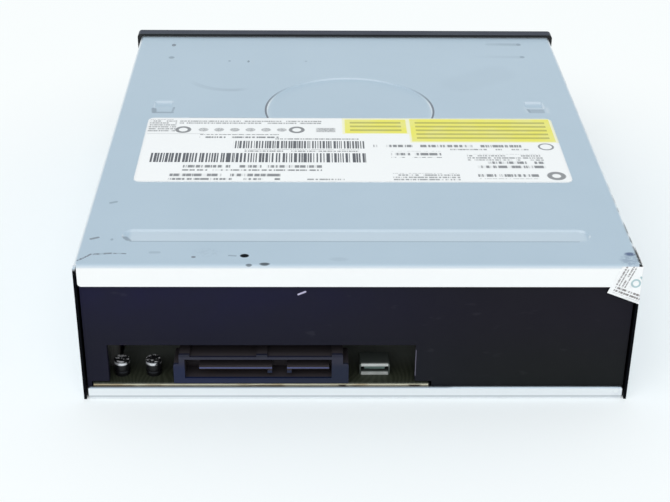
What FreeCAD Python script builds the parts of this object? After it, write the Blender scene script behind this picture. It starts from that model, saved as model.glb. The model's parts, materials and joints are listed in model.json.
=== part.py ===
"""Half-height optical disc drive as an assembly of separate pieces, in mm.

X is right seen from the front, Y runs from the bezel to the rear, Z is up.
The origin is the middle of the underside.
"""
import FreeCAD, Part
import Sketcher
import math
import os
import re

os.makedirs("parts", exist_ok=True)
doc = FreeCAD.newDocument("disc_drive")
sheet = doc.addObject("Spreadsheet::Sheet", "Sizes")

SIZES = {
    # case and sheet metal
    "case_width": 146.0,
    "case_height": 41.3,
    "case_depth": 165.0,
    "cover_sheet": 0.7,
    "plate_sheet": 0.8,
    "bend_radius": 1.2,
    "flange_height": 6.2,
    "lip_height": 3.7,
    "bezel_side": 1.3,
    "bezel_rise": 0.7,
    "bezel_depth": 5.0,
    "bezel_wall": 2.2,
    # standard bay mounting pattern, measured from the bezel's back and the underside
    "mount_setback": 47.4,
    "mount_pitch": 79.25,
    "mount_low": 9.91,
    "mount_rise": 11.93,
    "mount_inset": 3.15,
    "mount_hole": 1.25,
    # pressed features of the top
    "circle_radius": 26.3,
    "press_depth": 0.45,
    "circle_slope": 40.0,
    "groove_slope": 50.0,
    "dimple_slope": 30.0,
    "dimple_size": 6.1,
    "dimple_inset": 13.8,
    "dimple_depth": 0.7,
    "groove_end": 10.8,
    "groove_width": 6.6,
    "groove_inset": 13.1,
    # main board and rear window
    "board_low": 3.3,
    "board_thick": 1.6,
    "board_left": -19.4,
    "board_inset": 2.7,
    "board_depth": 69.6,
    "window_left": -15.7,
    "window_inset": 7.0,
    "socket_left": 2.1,
    "socket_right": 48.7,
    # chassis
    "wall": 2.0,
    "side_room": 6.0,
    # tray
    "tray_side_gap": 2.0,
    "tray_rear_gap": 10.5,
    "recess_border": 4.5,
    "recess_front": 5.1,
    "small_recess": 40.5,
    "slot_half": 17.5,
    # loading gears
    "gear_setback": 18.0,
    "rack_line": -41.0,
    "rack_module": 1.0,
    "drive_teeth": 16.0,
    "train_module": 0.7,
    "wheel_teeth": 36.0,
    "pinion_teeth": 14.0,
    "mesh_ease": 0.12,
    "drive_post": 2.0,
    "pulley_post": 1.5,
    "pulley_radius": 9.5,
    "pulley_groove": 8.4,
    "motor_groove": 2.4,
    "motor_x": 22.0,
    "motor_ahead": 2.5,
    "motor_radius": 9.0,
    "belt_size": 1.2,
    # lift and traverse
    "cam_travel": 14.0,
    "pin_radius": 1.5,
    "pin_x": 22.0,
    "frame_border": 3.0,
    "frame_setback": 34.0,
    "frame_rear_gap": 18.0,
    "pivot_inset": 3.0,
    "traverse_sheet": 1.2,
    "traverse_half": 42.0,
    "traverse_front_gap": 8.0,
    "traverse_rear_gap": 7.0,
    "grommet_edge": 3.5,
    "grommet_inset": 5.0,
    "rod_edge": 15.0,
    "rod_radius": 1.5,
    "rod_behind": 9.0,
    "screw_edge": 9.0,
    "screw_radius": 1.25,
    # spindle and clamp
    "spindle_radius": 1.5,
    "rotor_radius": 13.5,
    "table_radius": 15.0,
    "ring_height": 0.5,
    "hub_radius": 7.4,
    "puck_neck": 14.2,
    "puck_flange": 22.0,
    "cup_radius": 26.0,
    # pickup
    "pickup_behind": 17.0,
    "pickup_depth": 20.0,
    "lens_ahead": 7.0,
    "lens_radius": 2.2,
    # front controls
    "button_inset": 15.0,
    "button_z": 9.5,
    "button_width": 11.5,
    "button_height": 5.0,
    "control_pitch": 14.0,
    "release_radius": 0.75,
}

# Heights in a case of standard height. The pieces between the board and the cover keep these proportions.
LEVELS = {
    "deck_top": 11.0,
    "window_top": 16.7,
    "rail_top": 20.3,
    "bar_low": 17.0,
    "bar_high": 19.5,
    "tray_low": 20.5,
    "slab_low": 23.3,
    "tray_floor": 25.3,
    "tray_top": 28.8,
    "door_low": 20.6,
    "door_high": 36.9,
    "roller_low": 11.4,
    "belt_low": 12.8,
    "pulley_top": 15.4,
    "pinion_top": 19.0,
    "pulley_cap": 19.2,
    "wheel_low": 16.2,
    "wheel_top": 18.6,
    "drive_top": 22.3,
    "drive_cap": 22.4,
    "pin_down": 5.83,
    "pin_z": 12.5,
    "cam_top": 16.0,
    "frame_low": 10.5,
    "frame_high": 14.0,
    "pivot_z": 14.0,
    "traverse_low": 15.5,
    "rod_z": 18.6,
    "bush_low": 12.5,
    "coil_low": 18.6,
    "coil_high": 20.8,
    "rotor_low": 18.3,
    "rotor_high": 23.0,
    "table_high": 26.8,
    "hub_high": 29.2,
    "puck_low": 29.3,
    "bridge_low": 33.2,
    "bridge_high": 39.8,
    "pickup_low": 13.0,
    "pickup_high": 21.5,
    "holder_low": 22.6,
    "stage_high": 25.0,
}

FORMULAS = {
    "bezel_width": "case_width + 2 * bezel_side",
    "bezel_height": "case_height + bezel_rise",
    "rear_y": "(case_depth + bezel_depth) / 2",
    "front_y": "-(case_depth + bezel_depth) / 2",
    "seat_y": "bezel_depth - (case_depth + bezel_depth) / 2",
    "half_case": "case_width / 2",
    "half_inside": "case_width / 2 - cover_sheet",
    "under_cover": "case_height - cover_sheet",
    "mount_y": "seat_y + mount_setback",
    "plate_half": "half_inside - 0.3",
    "mount_span": "case_width - 2 * mount_inset",
    "dimple_out": "half_case - dimple_inset",
    "groove_length": "case_width - 2 * groove_end",
    "board_right": "half_case - board_inset",
    "board_front": "rear_y - 0.4 - board_depth",
    "window_right": "half_case - window_inset",
    "side_wall": "half_case - side_room",
    "board_high": "board_low + board_thick",
    "chassis_low": "board_high + 0.3",
    "chassis_high": "under_cover - 0.3",
    "chassis_rear": "rear_y - plate_sheet - 0.1",
    "wall_outer": "side_wall + wall",
    "half_tray": "side_wall - tray_side_gap",
    "disc_recess": "half_tray - recess_border",
    "disc_y": "tray_front + recess_front + disc_recess",
    "tray_front": "front_y + 4.4",
    "tray_rear": "rear_y - tray_rear_gap",
    "gear_y": "seat_y + gear_setback",
    "motor_y": "gear_y - motor_ahead",
    "rack_teeth": "floor((tray_rear - gear_y - 1) / (pi * rack_module)) + 2",
    "drive_radius": "rack_module * drive_teeth / 2",
    "drive_x": "rack_line + drive_radius + mesh_ease",
    "wheel_radius": "train_module * wheel_teeth / 2",
    "pinion_radius": "train_module * pinion_teeth / 2",
    "pulley_x": "drive_x + wheel_radius + pinion_radius + mesh_ease",
    "deck_rear": "frame_front - 6.5",
    "cam_drop": "pin_z - pin_down",
    "frame_half": "traverse_half + frame_border",
    "frame_front": "seat_y + frame_setback",
    "frame_rear": "rear_y - frame_rear_gap",
    "pivot_y": "frame_rear - pivot_inset",
    "traverse_front": "frame_front + traverse_front_gap",
    "traverse_rear": "frame_rear - traverse_rear_gap",
    "traverse_high": "traverse_low + traverse_sheet",
    "grommet_x": "traverse_half - grommet_edge",
    "rod_x": "traverse_half - rod_edge",
    "screw_x": "traverse_half - screw_edge",
    "grommet_front": "traverse_front + grommet_inset",
    "grommet_rear": "traverse_rear - grommet_inset",
    "rod_front": "disc_y + rod_behind",
    "pickup_front": "disc_y + pickup_behind",
    "lens_y": "pickup_front + lens_ahead",
    "pickup_rear": "pickup_front + pickup_depth",
    "button_x": "half_case - button_inset",
    "lamp_x": "button_x - control_pitch",
    "release_x": "lamp_x - control_pitch",
    "slot_half_wide": "button_width / 2 + 0.25",
    "slot_half_high": "button_height / 2 + 0.25",
    "button_back": "seat_y - 0.2",
    "panel_y": "seat_y + 2.2",
    "rise": "(under_cover - board_high) / 35.7",
}
for name, height in LEVELS.items():
    FORMULAS[name] = "board_high + %.2f * rise" % (height - SIZES["board_low"] - SIZES["board_thick"])

for row, (alias, value) in enumerate(SIZES.items(), start=1):
    sheet.set("A%d" % row, alias)
    sheet.set("B%d" % row, str(value))
    sheet.setAlias("B%d" % row, alias)
doc.recompute()

PARTS = []
PLANES = {"XY": "XY_Plane", "XZ": "XZ_Plane", "YZ": "YZ_Plane"}
CUTS = []


def expand(text):
    """Write a formula out in sheet cells."""
    def word(match):
        name = match.group(0)
        if name in FORMULAS:
            return "(" + expand(FORMULAS[name]) + ")"
        if name in SIZES:
            return "Sizes." + name
        return name
    return re.sub(r"[A-Za-z_]\w*", word, str(text))


def number(text):
    """The present value of a formula."""
    return float(sheet.evalExpression(expand(text)))


def bind(item, prop, text):
    item.setExpression(prop, expand(text))


def place(item, x="0", y="0", z="0", turn=0.0):
    """Put a piece at a point, turned about Z by an angle in degrees."""
    item.Placement = FreeCAD.Placement(FreeCAD.Vector(), FreeCAD.Rotation(FreeCAD.Vector(0, 0, 1), turn))
    bind(item, "Placement.Base.x", x)
    bind(item, "Placement.Base.y", y)
    bind(item, "Placement.Base.z", z)


def origin_part(body, role):
    return [item for item in body.Origin.OriginFeatures if item.Role == role][0]


def new_body(label, x="0", y="0", z="0", turn=0.0, keep=True):
    body = doc.addObject("PartDesign::Body", label)
    body.Label = label
    place(body, x, y, z, turn)
    if keep:
        PARTS.append(body)
    return body


def pin_point(sketch, geometry, position, x, y):
    """Hold a sketch point at a place given by two formulas."""
    for kind, text in (("DistanceX", x), ("DistanceY", y)):
        held = Sketcher.Constraint(kind, -1, 1, geometry, position, number(text))
        index = sketch.addConstraint(held)
        bind(sketch, "Constraints[%d]" % index, text)


def set_radius(sketch, geometry, text):
    index = sketch.addConstraint(Sketcher.Constraint("Radius", geometry, number(text)))
    bind(sketch, "Constraints[%d]" % index, text)


def vector(point):
    return FreeCAD.Vector(point[0], point[1], 0)


def circle(x, y, r):
    """A round outline."""
    def draw(sketch):
        middle = vector((number(x), number(y)))
        geometry = sketch.addGeometry(Part.Circle(middle, FreeCAD.Vector(0, 0, 1), number(r)))
        pin_point(sketch, geometry, 3, x, y)
        set_radius(sketch, geometry, r)
    return draw


def polygon(*corners):
    """A closed outline of corners (x, y), or (x, y, radius) where a corner is rounded."""
    def draw(sketch):
        count = len(corners)
        spots = [vector((number(c[0]), number(c[1]))) for c in corners]
        trims = []
        for i in range(count):
            back = (spots[i - 1] - spots[i]).normalize()
            ahead = (spots[(i + 1) % count] - spots[i]).normalize()
            radius = number(corners[i][2]) if len(corners[i]) > 2 else 0.0
            half = back.getAngle(ahead) / 2
            reach = radius / math.tan(half)
            trims.append((spots[i] + back * reach, spots[i] + ahead * reach, radius, half, back, ahead))
        lines = []
        for i in range(count):
            segment = Part.LineSegment(trims[i][1], trims[(i + 1) % count][0])
            lines.append(sketch.addGeometry(segment))
        for i in range(count):
            entry, leave, radius, half, back, ahead = trims[i]
            before, after = lines[i - 1], lines[i]
            if radius == 0.0:
                sketch.addConstraint(Sketcher.Constraint("Coincident", before, 2, after, 1))
                pin_point(sketch, after, 1, corners[i][0], corners[i][1])
                continue
            middle = spots[i] + (back + ahead).normalize() * (radius / math.sin(half))
            left_turn = back.cross(ahead).z < 0
            first, last = (entry, leave) if left_turn else (leave, entry)
            start = math.atan2(first.y - middle.y, first.x - middle.x)
            stop = math.atan2(last.y - middle.y, last.x - middle.x)
            ring = Part.Circle(middle, FreeCAD.Vector(0, 0, 1), radius)
            arc = sketch.addGeometry(Part.ArcOfCircle(ring, start, stop))
            sketch.addConstraint(Sketcher.Constraint("Tangent", before, 2, arc, 1 if left_turn else 2))
            sketch.addConstraint(Sketcher.Constraint("Tangent", after, 1, arc, 2 if left_turn else 1))
            set_radius(sketch, arc, corners[i][2])
            mark = sketch.addGeometry(Part.Point(spots[i]), True)
            sketch.addConstraint(Sketcher.Constraint("PointOnObject", mark, 1, before))
            sketch.addConstraint(Sketcher.Constraint("PointOnObject", mark, 1, after))
            pin_point(sketch, mark, 1, corners[i][0], corners[i][1])
    return draw


def rect(x0, x1, y0, y1, r=None):
    """A rectangle, its corners rounded where a radius is given."""
    corners = [(x0, y0), (x1, y0), (x1, y1), (x0, y1)]
    if r is not None:
        corners = [corner + (r,) for corner in corners]
    return polygon(*corners)


def wrap(x0, y0, r0, x1, y1, r1):
    """The tight loop round two circles, which is a slot when their radii are equal."""
    def draw(sketch):
        ends = (vector((number(x0), number(y0))), vector((number(x1), number(y1))))
        radii = (number(r0), number(r1))
        along = ends[1] - ends[0]
        heading = math.atan2(along.y, along.x)
        lean = math.acos((radii[0] - radii[1]) / along.Length)
        up, down = heading + lean, heading - lean
        headings = [vector((math.cos(a), math.sin(a))) for a in (up, down)]
        spot = [[end + heading * r for heading in headings] for end, r in zip(ends, radii)]
        axis = FreeCAD.Vector(0, 0, 1)
        round_end = Part.Circle(ends[0], axis, radii[0])
        far = sketch.addGeometry(Part.ArcOfCircle(round_end, up, down + 2 * math.pi))
        near = sketch.addGeometry(Part.ArcOfCircle(Part.Circle(ends[1], axis, radii[1]), down, up))
        top = sketch.addGeometry(Part.LineSegment(spot[0][0], spot[1][0]))
        low = sketch.addGeometry(Part.LineSegment(spot[0][1], spot[1][1]))
        sketch.addConstraint(Sketcher.Constraint("Tangent", top, 1, far, 1))
        sketch.addConstraint(Sketcher.Constraint("Tangent", top, 2, near, 2))
        sketch.addConstraint(Sketcher.Constraint("Tangent", low, 1, far, 2))
        sketch.addConstraint(Sketcher.Constraint("Tangent", low, 2, near, 1))
        pin_point(sketch, far, 3, x0, y0)
        pin_point(sketch, near, 3, x1, y1)
        set_radius(sketch, far, r0)
        set_radius(sketch, near, r1)
    return draw


def new_sketch(body, plane, level, outlines):
    """Outlines on one of the body's own planes, moved to a level along that plane's axis."""
    sketch = body.newObject("Sketcher::SketchObject", "Sketch")
    sketch.AttachmentSupport = (origin_part(body, PLANES[plane]), [""])
    sketch.MapMode = "FlatFace"
    bind(sketch, "AttachmentOffset.Base.z", ("-(%s)" if plane == "XZ" else "%s") % level)
    for draw in outlines:
        draw(sketch)
    return sketch


def pad(body, plane, low, high, *outlines):
    """Add material between two levels."""
    feature = body.newObject("PartDesign::Pad", "Pad")
    feature.Profile = new_sketch(body, plane, low, outlines)
    bind(feature, "Length", "(%s) - (%s)" % (high, low))
    feature.Reversed = plane == "XZ"
    body.Tip = feature
    return feature


def pocket(body, plane, low, high, *outlines):
    """Take material away between two levels."""
    feature = body.newObject("PartDesign::Pocket", "Pocket")
    feature.Profile = new_sketch(body, plane, low, outlines)
    bind(feature, "Length", "(%s) - (%s)" % (high, low))
    feature.Reversed = plane != "XZ"
    body.Tip = feature
    CUTS.append(feature)
    return feature


def press(body, depth, slope, *outlines):
    """Press a shallow hollow with sloping walls into the top sheet, which keeps its thickness."""
    under = body.newObject("PartDesign::Pad", "Pad")
    under.Profile = new_sketch(body, "XY", "under_cover", outlines)
    bind(under, "Length", depth)
    under.Reversed = True
    bind(under, "TaperAngle", "-" + slope)
    hollow = body.newObject("PartDesign::Pocket", "Pocket")
    hollow.Profile = new_sketch(body, "XY", "case_height", outlines)
    bind(hollow, "Length", depth)
    bind(hollow, "TaperAngle", "-" + slope)
    body.Tip = hollow
    CUTS.append(hollow)


def turn(body, *corners):
    """A turned form about the body's own Z axis, from corners (radius, z)."""
    feature = body.newObject("PartDesign::Revolution", "Revolution")
    sketch = new_sketch(body, "XZ", "0", [polygon(*corners)])
    feature.Profile = sketch
    feature.ReferenceAxis = (sketch, ["V_Axis"])
    feature.Angle = 360
    body.Tip = feature
    return feature


def repeat_round(body, feature, count):
    """Repeat a feature evenly round the body's Z axis."""
    pattern = body.newObject("PartDesign::PolarPattern", "PolarPattern")
    pattern.Originals = [feature]
    pattern.Axis = (origin_part(body, "Z_Axis"), [""])
    pattern.Angle = 360
    bind(pattern, "Occurrences", count)
    body.Tip = pattern


def repeat_along(body, feature, axis, length, count):
    """Repeat a feature evenly along one of the body's axes."""
    pattern = body.newObject("PartDesign::LinearPattern", "LinearPattern")
    pattern.Originals = [feature]
    pattern.Direction = (origin_part(body, axis), [""])
    bind(pattern, "Length", length)
    bind(pattern, "Occurrences", count)
    body.Tip = pattern


def soften(body, radius, wanted):
    """Round the edges that a test picks out."""
    doc.recompute()
    base = body.Tip
    names = ["Edge%d" % i for i, edge in enumerate(base.Shape.Edges, start=1) if wanted(edge)]
    feature = body.newObject("PartDesign::Fillet", "Fillet")
    feature.Base = (base, names)
    feature.Radius = radius
    body.Tip = feature


def on_plane(edge, axis, level):
    """Does the whole edge lie at this level of the axis?"""
    box = edge.BoundBox
    low, high = {"x": (box.XMin, box.XMax), "y": (box.YMin, box.YMax), "z": (box.ZMin, box.ZMax)}[axis]
    return abs(low - level) < 0.01 and abs(high - level) < 0.01


def block(name, x0, x1, y0, y1, z0, z1):
    """A plain box between formulas."""
    item = doc.addObject("Part::Box", name)
    place(item, x0, y0, z0)
    bind(item, "Length", "(%s) - (%s)" % (x1, x0))
    bind(item, "Width", "(%s) - (%s)" % (y1, y0))
    bind(item, "Height", "(%s) - (%s)" % (z1, z0))
    return item


def group(label, members):
    """Separate like pieces that share one node."""
    item = doc.addObject("Part::Compound", label)
    item.Label = label
    item.Links = members
    PARTS.append(item)
    return item


SIDES = ("-", "")
MOUNT_ROWS = ("mount_y", "mount_y + mount_pitch")


def top_cover():
    """Folded sheet: top, two sides and a rear flange, with pressed hollows and tapped side holes."""
    body = new_body("top_cover")
    inner_bend = "bend_radius - cover_sheet"
    fold = "rear_y - bend_radius"
    pad(body, "XZ", "seat_y", fold, polygon(
        ("-half_case", "0"), ("-half_inside", "0"), ("-half_inside", "under_cover", inner_bend),
        ("half_inside", "under_cover", inner_bend), ("half_inside", "0"), ("half_case", "0"),
        ("half_case", "case_height", "bend_radius"), ("-half_case", "case_height", "bend_radius")))
    flange_low = "case_height - flange_height"
    pad(body, "YZ", "-plate_half", "plate_half", polygon(
        (fold + " - 0.2", "under_cover"), ("rear_y - cover_sheet", "under_cover", inner_bend),
        ("rear_y - cover_sheet", flange_low), ("rear_y", flange_low),
        ("rear_y", "case_height", "bend_radius"),
        (fold + " - 0.2", "case_height")))
    low, corner = number(flange_low), number("plate_half")
    soften(body, 1.0, lambda edge: on_plane(edge, "z", low)
           and (on_plane(edge, "x", corner) or on_plane(edge, "x", -corner)))
    wall_top = "case_height - bend_radius"
    pad(body, "XZ", fold + " - 0.2", "rear_y", rect("half_inside", "half_case", "0", wall_top))
    pad(body, "XZ", fold + " - 0.2", "rear_y", rect("-half_case", "-half_inside", "0", wall_top))
    press(body, "press_depth", "circle_slope", circle("0", "disc_y", "circle_radius"))
    for side in SIDES:
        middle = side + "dimple_out"
        half = "dimple_size / 2"
        press(body, "dimple_depth", "dimple_slope", rect(
            "%s - %s" % (middle, half), "%s + %s" % (middle, half),
            "disc_y - 3.3 - " + half, "disc_y - 3.3 + " + half, "0.8"))
    groove_y = "rear_y - groove_inset - groove_width / 2"
    reach = "(groove_length - groove_width) / 2"
    press(body, "press_depth", "groove_slope",
          wrap("-" + reach, groove_y, "groove_width / 2", reach, groove_y, "groove_width / 2"))
    heights = ("mount_low", "mount_low + mount_rise")
    spots = [(y, z) for y in MOUNT_ROWS for z in heights]
    pad(body, "YZ", "half_inside - 1.3", "half_inside", *[circle(y, z, "mount_hole + 0.9") for y, z in spots])
    pad(body, "YZ", "-half_inside", "1.3 - half_inside",
        *[circle(y, z, "mount_hole + 0.9") for y, z in spots])
    for side in SIDES:
        low = "half_inside - 2" if side == "" else "-half_case - 1"
        high = "half_case + 1" if side == "" else "2 - half_inside"
        pocket(body, "YZ", low, high, *[circle(y, z, "mount_hole") for y, z in spots])
        pocket(body, "YZ", low, high, rect("seat_y + 4", "seat_y + 8", "12", "20"))


def bottom_plate():
    """Sheet with low side lips, an upturned rear lip, stiffening beads and tapped mounting holes."""
    body = new_body("bottom_plate")
    inner = "plate_half - plate_sheet"
    pad(body, "XZ", "seat_y + 0.3", "rear_y - plate_sheet", polygon(
        ("-plate_half", "0", "bend_radius"), ("plate_half", "0", "bend_radius"), ("plate_half", "4.8"),
        (inner, "4.8"), (inner, "plate_sheet", "bend_radius - plate_sheet"),
        ("plate_sheet - plate_half", "plate_sheet", "bend_radius - plate_sheet"),
        ("plate_sheet - plate_half", "4.8"), ("-plate_half", "4.8")))
    for side in SIDES:
        relief = ("-plate_half - 1", "1.5 - plate_half") if side else ("plate_half - 1.5", "plate_half + 1")
        pocket(body, "XY", "plate_sheet", "6",
               rect(relief[0], relief[1], "chassis_rear - wall - 0.3", "rear_y"))
    pad(body, "XZ", "rear_y - plate_sheet", "rear_y",
        rect("-plate_half", "plate_half", "0", "lip_height", "0.8"))
    rear = number("rear_y")
    soften(body, 0.7, lambda edge: on_plane(edge, "y", rear) and on_plane(edge, "z", 0))
    holes = [(side + "mount_span / 2", y) for side in SIDES for y in MOUNT_ROWS]
    pad(body, "XY", "plate_sheet", "2.2", *[circle(x, y, "mount_hole + 0.6") for x, y in holes])
    pocket(body, "XY", "-1", "3", *[circle(x, y, "mount_hole") for x, y in holes])
    corners = case_screw_spots()
    pad(body, "XY", "plate_sheet", "1.8", *[circle(x, y, "3.3") for x, y in corners])
    pocket(body, "XY", "-0.5", "1", *[circle(x, y, "2.9") for x, y in corners])
    pocket(body, "XY", "-0.5", "3", *[circle(x, y, "1.6") for x, y in corners])
    rows = ("seat_y + 38", "rear_y - 20")
    beads = [wrap("25 - half_case", y, "2.5", "half_case - 25", y, "2.5") for y in rows]
    wide = [wrap("25 - half_case", y, "3.1", "half_case - 25", y, "3.1") for y in rows]
    pad(body, "XY", "plate_sheet", "plate_sheet + 0.6", *wide)
    pocket(body, "XY", "-0.5", "0.6", *beads)
    studs = [circle(x, y, "2") for x in ("board_left + 5", "board_right - 12.3")
             for y in ("board_front + 5", "rear_y - 5")]
    pad(body, "XY", "plate_sheet", "board_low", *studs)


def case_screw_spots():
    """Where the four case screws stand."""
    return [(side + "(side_wall + 0.5)", y) for side in SIDES for y in ("seat_y + 10", "rear_y - 15")]


def main_chassis():
    """Moulded frame: side and rear walls, front deck with gear posts, tray rails, pivot lugs."""
    body = new_body("main_chassis")
    pad(body, "XY", "chassis_low", "chassis_high",
        rect("-wall_outer", "-side_wall", "seat_y + 0.5", "chassis_rear"))
    pad(body, "XY", "chassis_low", "chassis_high",
        rect("-plate_half + 0.2", "plate_half - 0.2", "chassis_rear - wall", "chassis_rear"))
    pad(body, "XY", "chassis_low", "chassis_high",
        rect("side_wall", "wall_outer", "seat_y + 0.5", "chassis_rear"))
    pad(body, "XY", "1", "chassis_low",
        rect("-plate_half + 0.2", "board_left - 0.8", "chassis_rear - wall", "chassis_rear"),
        rect("board_right + 0.4", "plate_half - 0.2", "chassis_rear - wall", "chassis_rear"))
    pocket(body, "XZ", "chassis_rear - wall - 1", "chassis_rear + 1",
           rect("window_left", "window_right", "chassis_low - 1", "window_top"))
    front = "panel_y + 1.2"
    pad(body, "XY", "1", "traverse_low",
        rect("-side_wall - 0.5", "side_wall + 0.5", front, front + " + wall"))
    pad(body, "XY", "deck_top - wall", "deck_top",
        rect("-side_wall - 0.5", "side_wall + 0.5", front, "deck_rear"))
    pad(body, "XY", "1", "deck_top",
        rect("1 - frame_half", "frame_half - 1", "deck_rear - 2", "deck_rear + 0.5"))
    pad(body, "XY", "1", "2.4", rect("1 - frame_half", "frame_half - 1", "deck_rear", "deck_rear + 3.8"))
    pad(body, "XY", "1", "5", rect("1 - frame_half", "3 - frame_half", "deck_rear + 3.6", "deck_rear + 4.7"))
    pad(body, "XY", "1", "2.4",
        rect("1 - frame_half", "3 - frame_half", "deck_rear + 0.5", "deck_rear + 4.7"))
    for side in SIDES:
        rails = ("-side_wall - 0.5", "6 - side_wall") if side else ("side_wall - 6", "side_wall + 0.5")
        pad(body, "XY", "rail_top - wall", "rail_top",
            rect(rails[0], rails[1], "seat_y + 0.5", "chassis_rear"))
        keeps = ("-side_wall - 0.5", "3.5 - side_wall") if side else ("side_wall - 3.5", "side_wall + 0.5")
        for start in ("seat_y + 0.5", "seat_y + 70", "rear_y - 35"):
            pad(body, "XY", "slab_low + 0.3", "slab_low + 2.1",
                rect(keeps[0], keeps[1], start, start + " + 18"))
        shelf = ("-side_wall - 0.5", "4 - side_wall") if side else ("side_wall - 4", "side_wall + 0.5")
        pad(body, "XY", "bridge_high - 3", "bridge_high - 1.5",
            rect(shelf[0], shelf[1], "disc_y - 9", "disc_y + 9"))
    for x, y in case_screw_spots():
        pad(body, "XY", "1.9", "14", circle(x, y, "2.8"))
        pocket(body, "XY", "1", "8", circle(x, y, "1.5"))
    pad(body, "XY", "bar_low", "bar_high",
        rect("-side_wall - 0.5", "side_wall + 0.5", "pivot_y - 2", "chassis_rear - 0.5"))
    for side in SIDES:
        lug = ("-frame_half - 5", "-frame_half - 2.2") if side else ("frame_half + 2.2", "frame_half + 5")
        pad(body, "YZ", lug[0], lug[1], polygon(
            ("pivot_y - 3.5", "bar_low + 0.5"), ("pivot_y - 3.5", "pivot_z - 3.2", "2"),
            ("pivot_y + 3.5", "pivot_z - 3.2", "2"), ("pivot_y + 3.5", "bar_low + 0.5")))
        pocket(body, "YZ", lug[0] + " - 1", lug[1] + " + 1",
               circle("pivot_y", "pivot_z", "pin_radius + 0.05"))
        low = "-wall_outer - 1" if side else "side_wall - 1"
        high = "1 - side_wall" if side else "wall_outer + 1"
        heights = ("mount_low", "mount_low + mount_rise")
        pocket(body, "YZ", low, high, *[circle(y, z, "2.6") for y in MOUNT_ROWS for z in heights])
    pocket(body, "XY", "deck_top - wall - 1", "deck_top + 1", circle("motor_x", "motor_y", "2.5"))
    pad(body, "XY", "deck_top - 0.5", "drive_cap", circle("drive_x", "gear_y", "drive_post"))
    pad(body, "XY", "deck_top - 0.5", "pulley_cap", circle("pulley_x", "gear_y", "pulley_post"))
    pad(body, "XY", "deck_top - 0.5", "wheel_low - 0.2", circle("drive_x", "gear_y", "drive_post + 1.2"))


def front_bezel():
    """Hollow front panel with the tray opening, control openings and two snap tongues."""
    body = new_body("front_bezel")
    pad(body, "XZ", "front_y", "seat_y",
        rect("-bezel_width / 2", "bezel_width / 2", "0", "bezel_height", "1.2"))
    front = number("front_y")
    soften(body, 0.9, lambda edge: on_plane(edge, "y", front))
    opening = rect("-half_tray - 0.6", "half_tray + 0.6", "door_low - 0.4", "door_high + 0.4", "0.8")
    pocket(body, "XZ", "front_y + bezel_wall", "seat_y + 1",
           rect("-half_inside", "half_inside", "1.6", "bezel_height - 1.8"),
           rect("-half_tray - 2.2", "half_tray + 2.2", "door_low - 2", "door_high + 2"))
    pocket(body, "XZ", "front_y - 1", "seat_y + 1", opening)
    pocket(body, "XZ", "front_y - 1", "seat_y + 1",
           rect("button_x - slot_half_wide", "button_x + slot_half_wide",
                "button_z - slot_half_high", "button_z + slot_half_high", "0.6"),
           rect("lamp_x - 2", "lamp_x + 2", "button_z - 1", "button_z + 1", "0.5"),
           circle("release_x", "button_z", "release_radius"))
    for side in SIDES:
        tongue = ("half_inside - 2.1", "half_inside - 0.5")
        barb = ("half_inside - 1", "half_inside + 0.5")
        if side:
            tongue = ("0.5 - half_inside", "2.1 - half_inside")
            barb = ("-half_inside - 0.5", "1 - half_inside")
        pad(body, "YZ", tongue[0], tongue[1],
            rect("front_y + bezel_wall - 0.5", "seat_y + 9", "12.4", "19.6"))
        pad(body, "YZ", barb[0], barb[1], rect("seat_y + 4.3", "seat_y + 7.7", "12.6", "19.4"))


def boards():
    """Main board with its parts, and the small board behind the bezel."""
    body = new_body("main_board")
    pad(body, "XY", "board_low", "board_high", polygon(
        ("board_left", "board_front"), ("board_right - 6.3", "board_front"),
        ("board_right - 6.3", "rear_y - 9"), ("board_right", "rear_y - 9"),
        ("board_right", "rear_y - plate_sheet"), ("board_left", "rear_y - plate_sheet")))
    chips = []
    for x, y, wide, deep, tall in (("10", "19", "20", "20", "1.4"), ("36", "21", "12", "8", "1.1"),
                                   ("36", "35", "10", "8", "1.2"), ("-14", "9", "18", "4", "2"),
                                   ("-12", "25", "10", "4", "2")):
        near = "board_front + " + y
        chips.append(block("chip", x, "%s + %s" % (x, wide), near, "%s + %s" % (near, deep),
                           "board_high", "board_high + " + tall))
    group("board_chips", chips)
    cans = []
    for x in ("window_right - 3", "window_right - 11.5"):
        can = new_body("can", x, "rear_y - 5.6", "board_high", keep=False)
        turn(can, ("0", "0"), ("2.1", "0"), ("2.1", "1"), ("1.9", "1.3"), ("2.1", "1.6"),
             ("2.1", "4.6", "0.3"), ("0", "4.6"))
        cans.append(can)
    group("board_cans", cans)
    panel = new_body("front_board")
    pad(panel, "XZ", "panel_y", "panel_y + 1",
        rect("release_x + 5", "side_wall - 1", "2.5", "15"))


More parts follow.
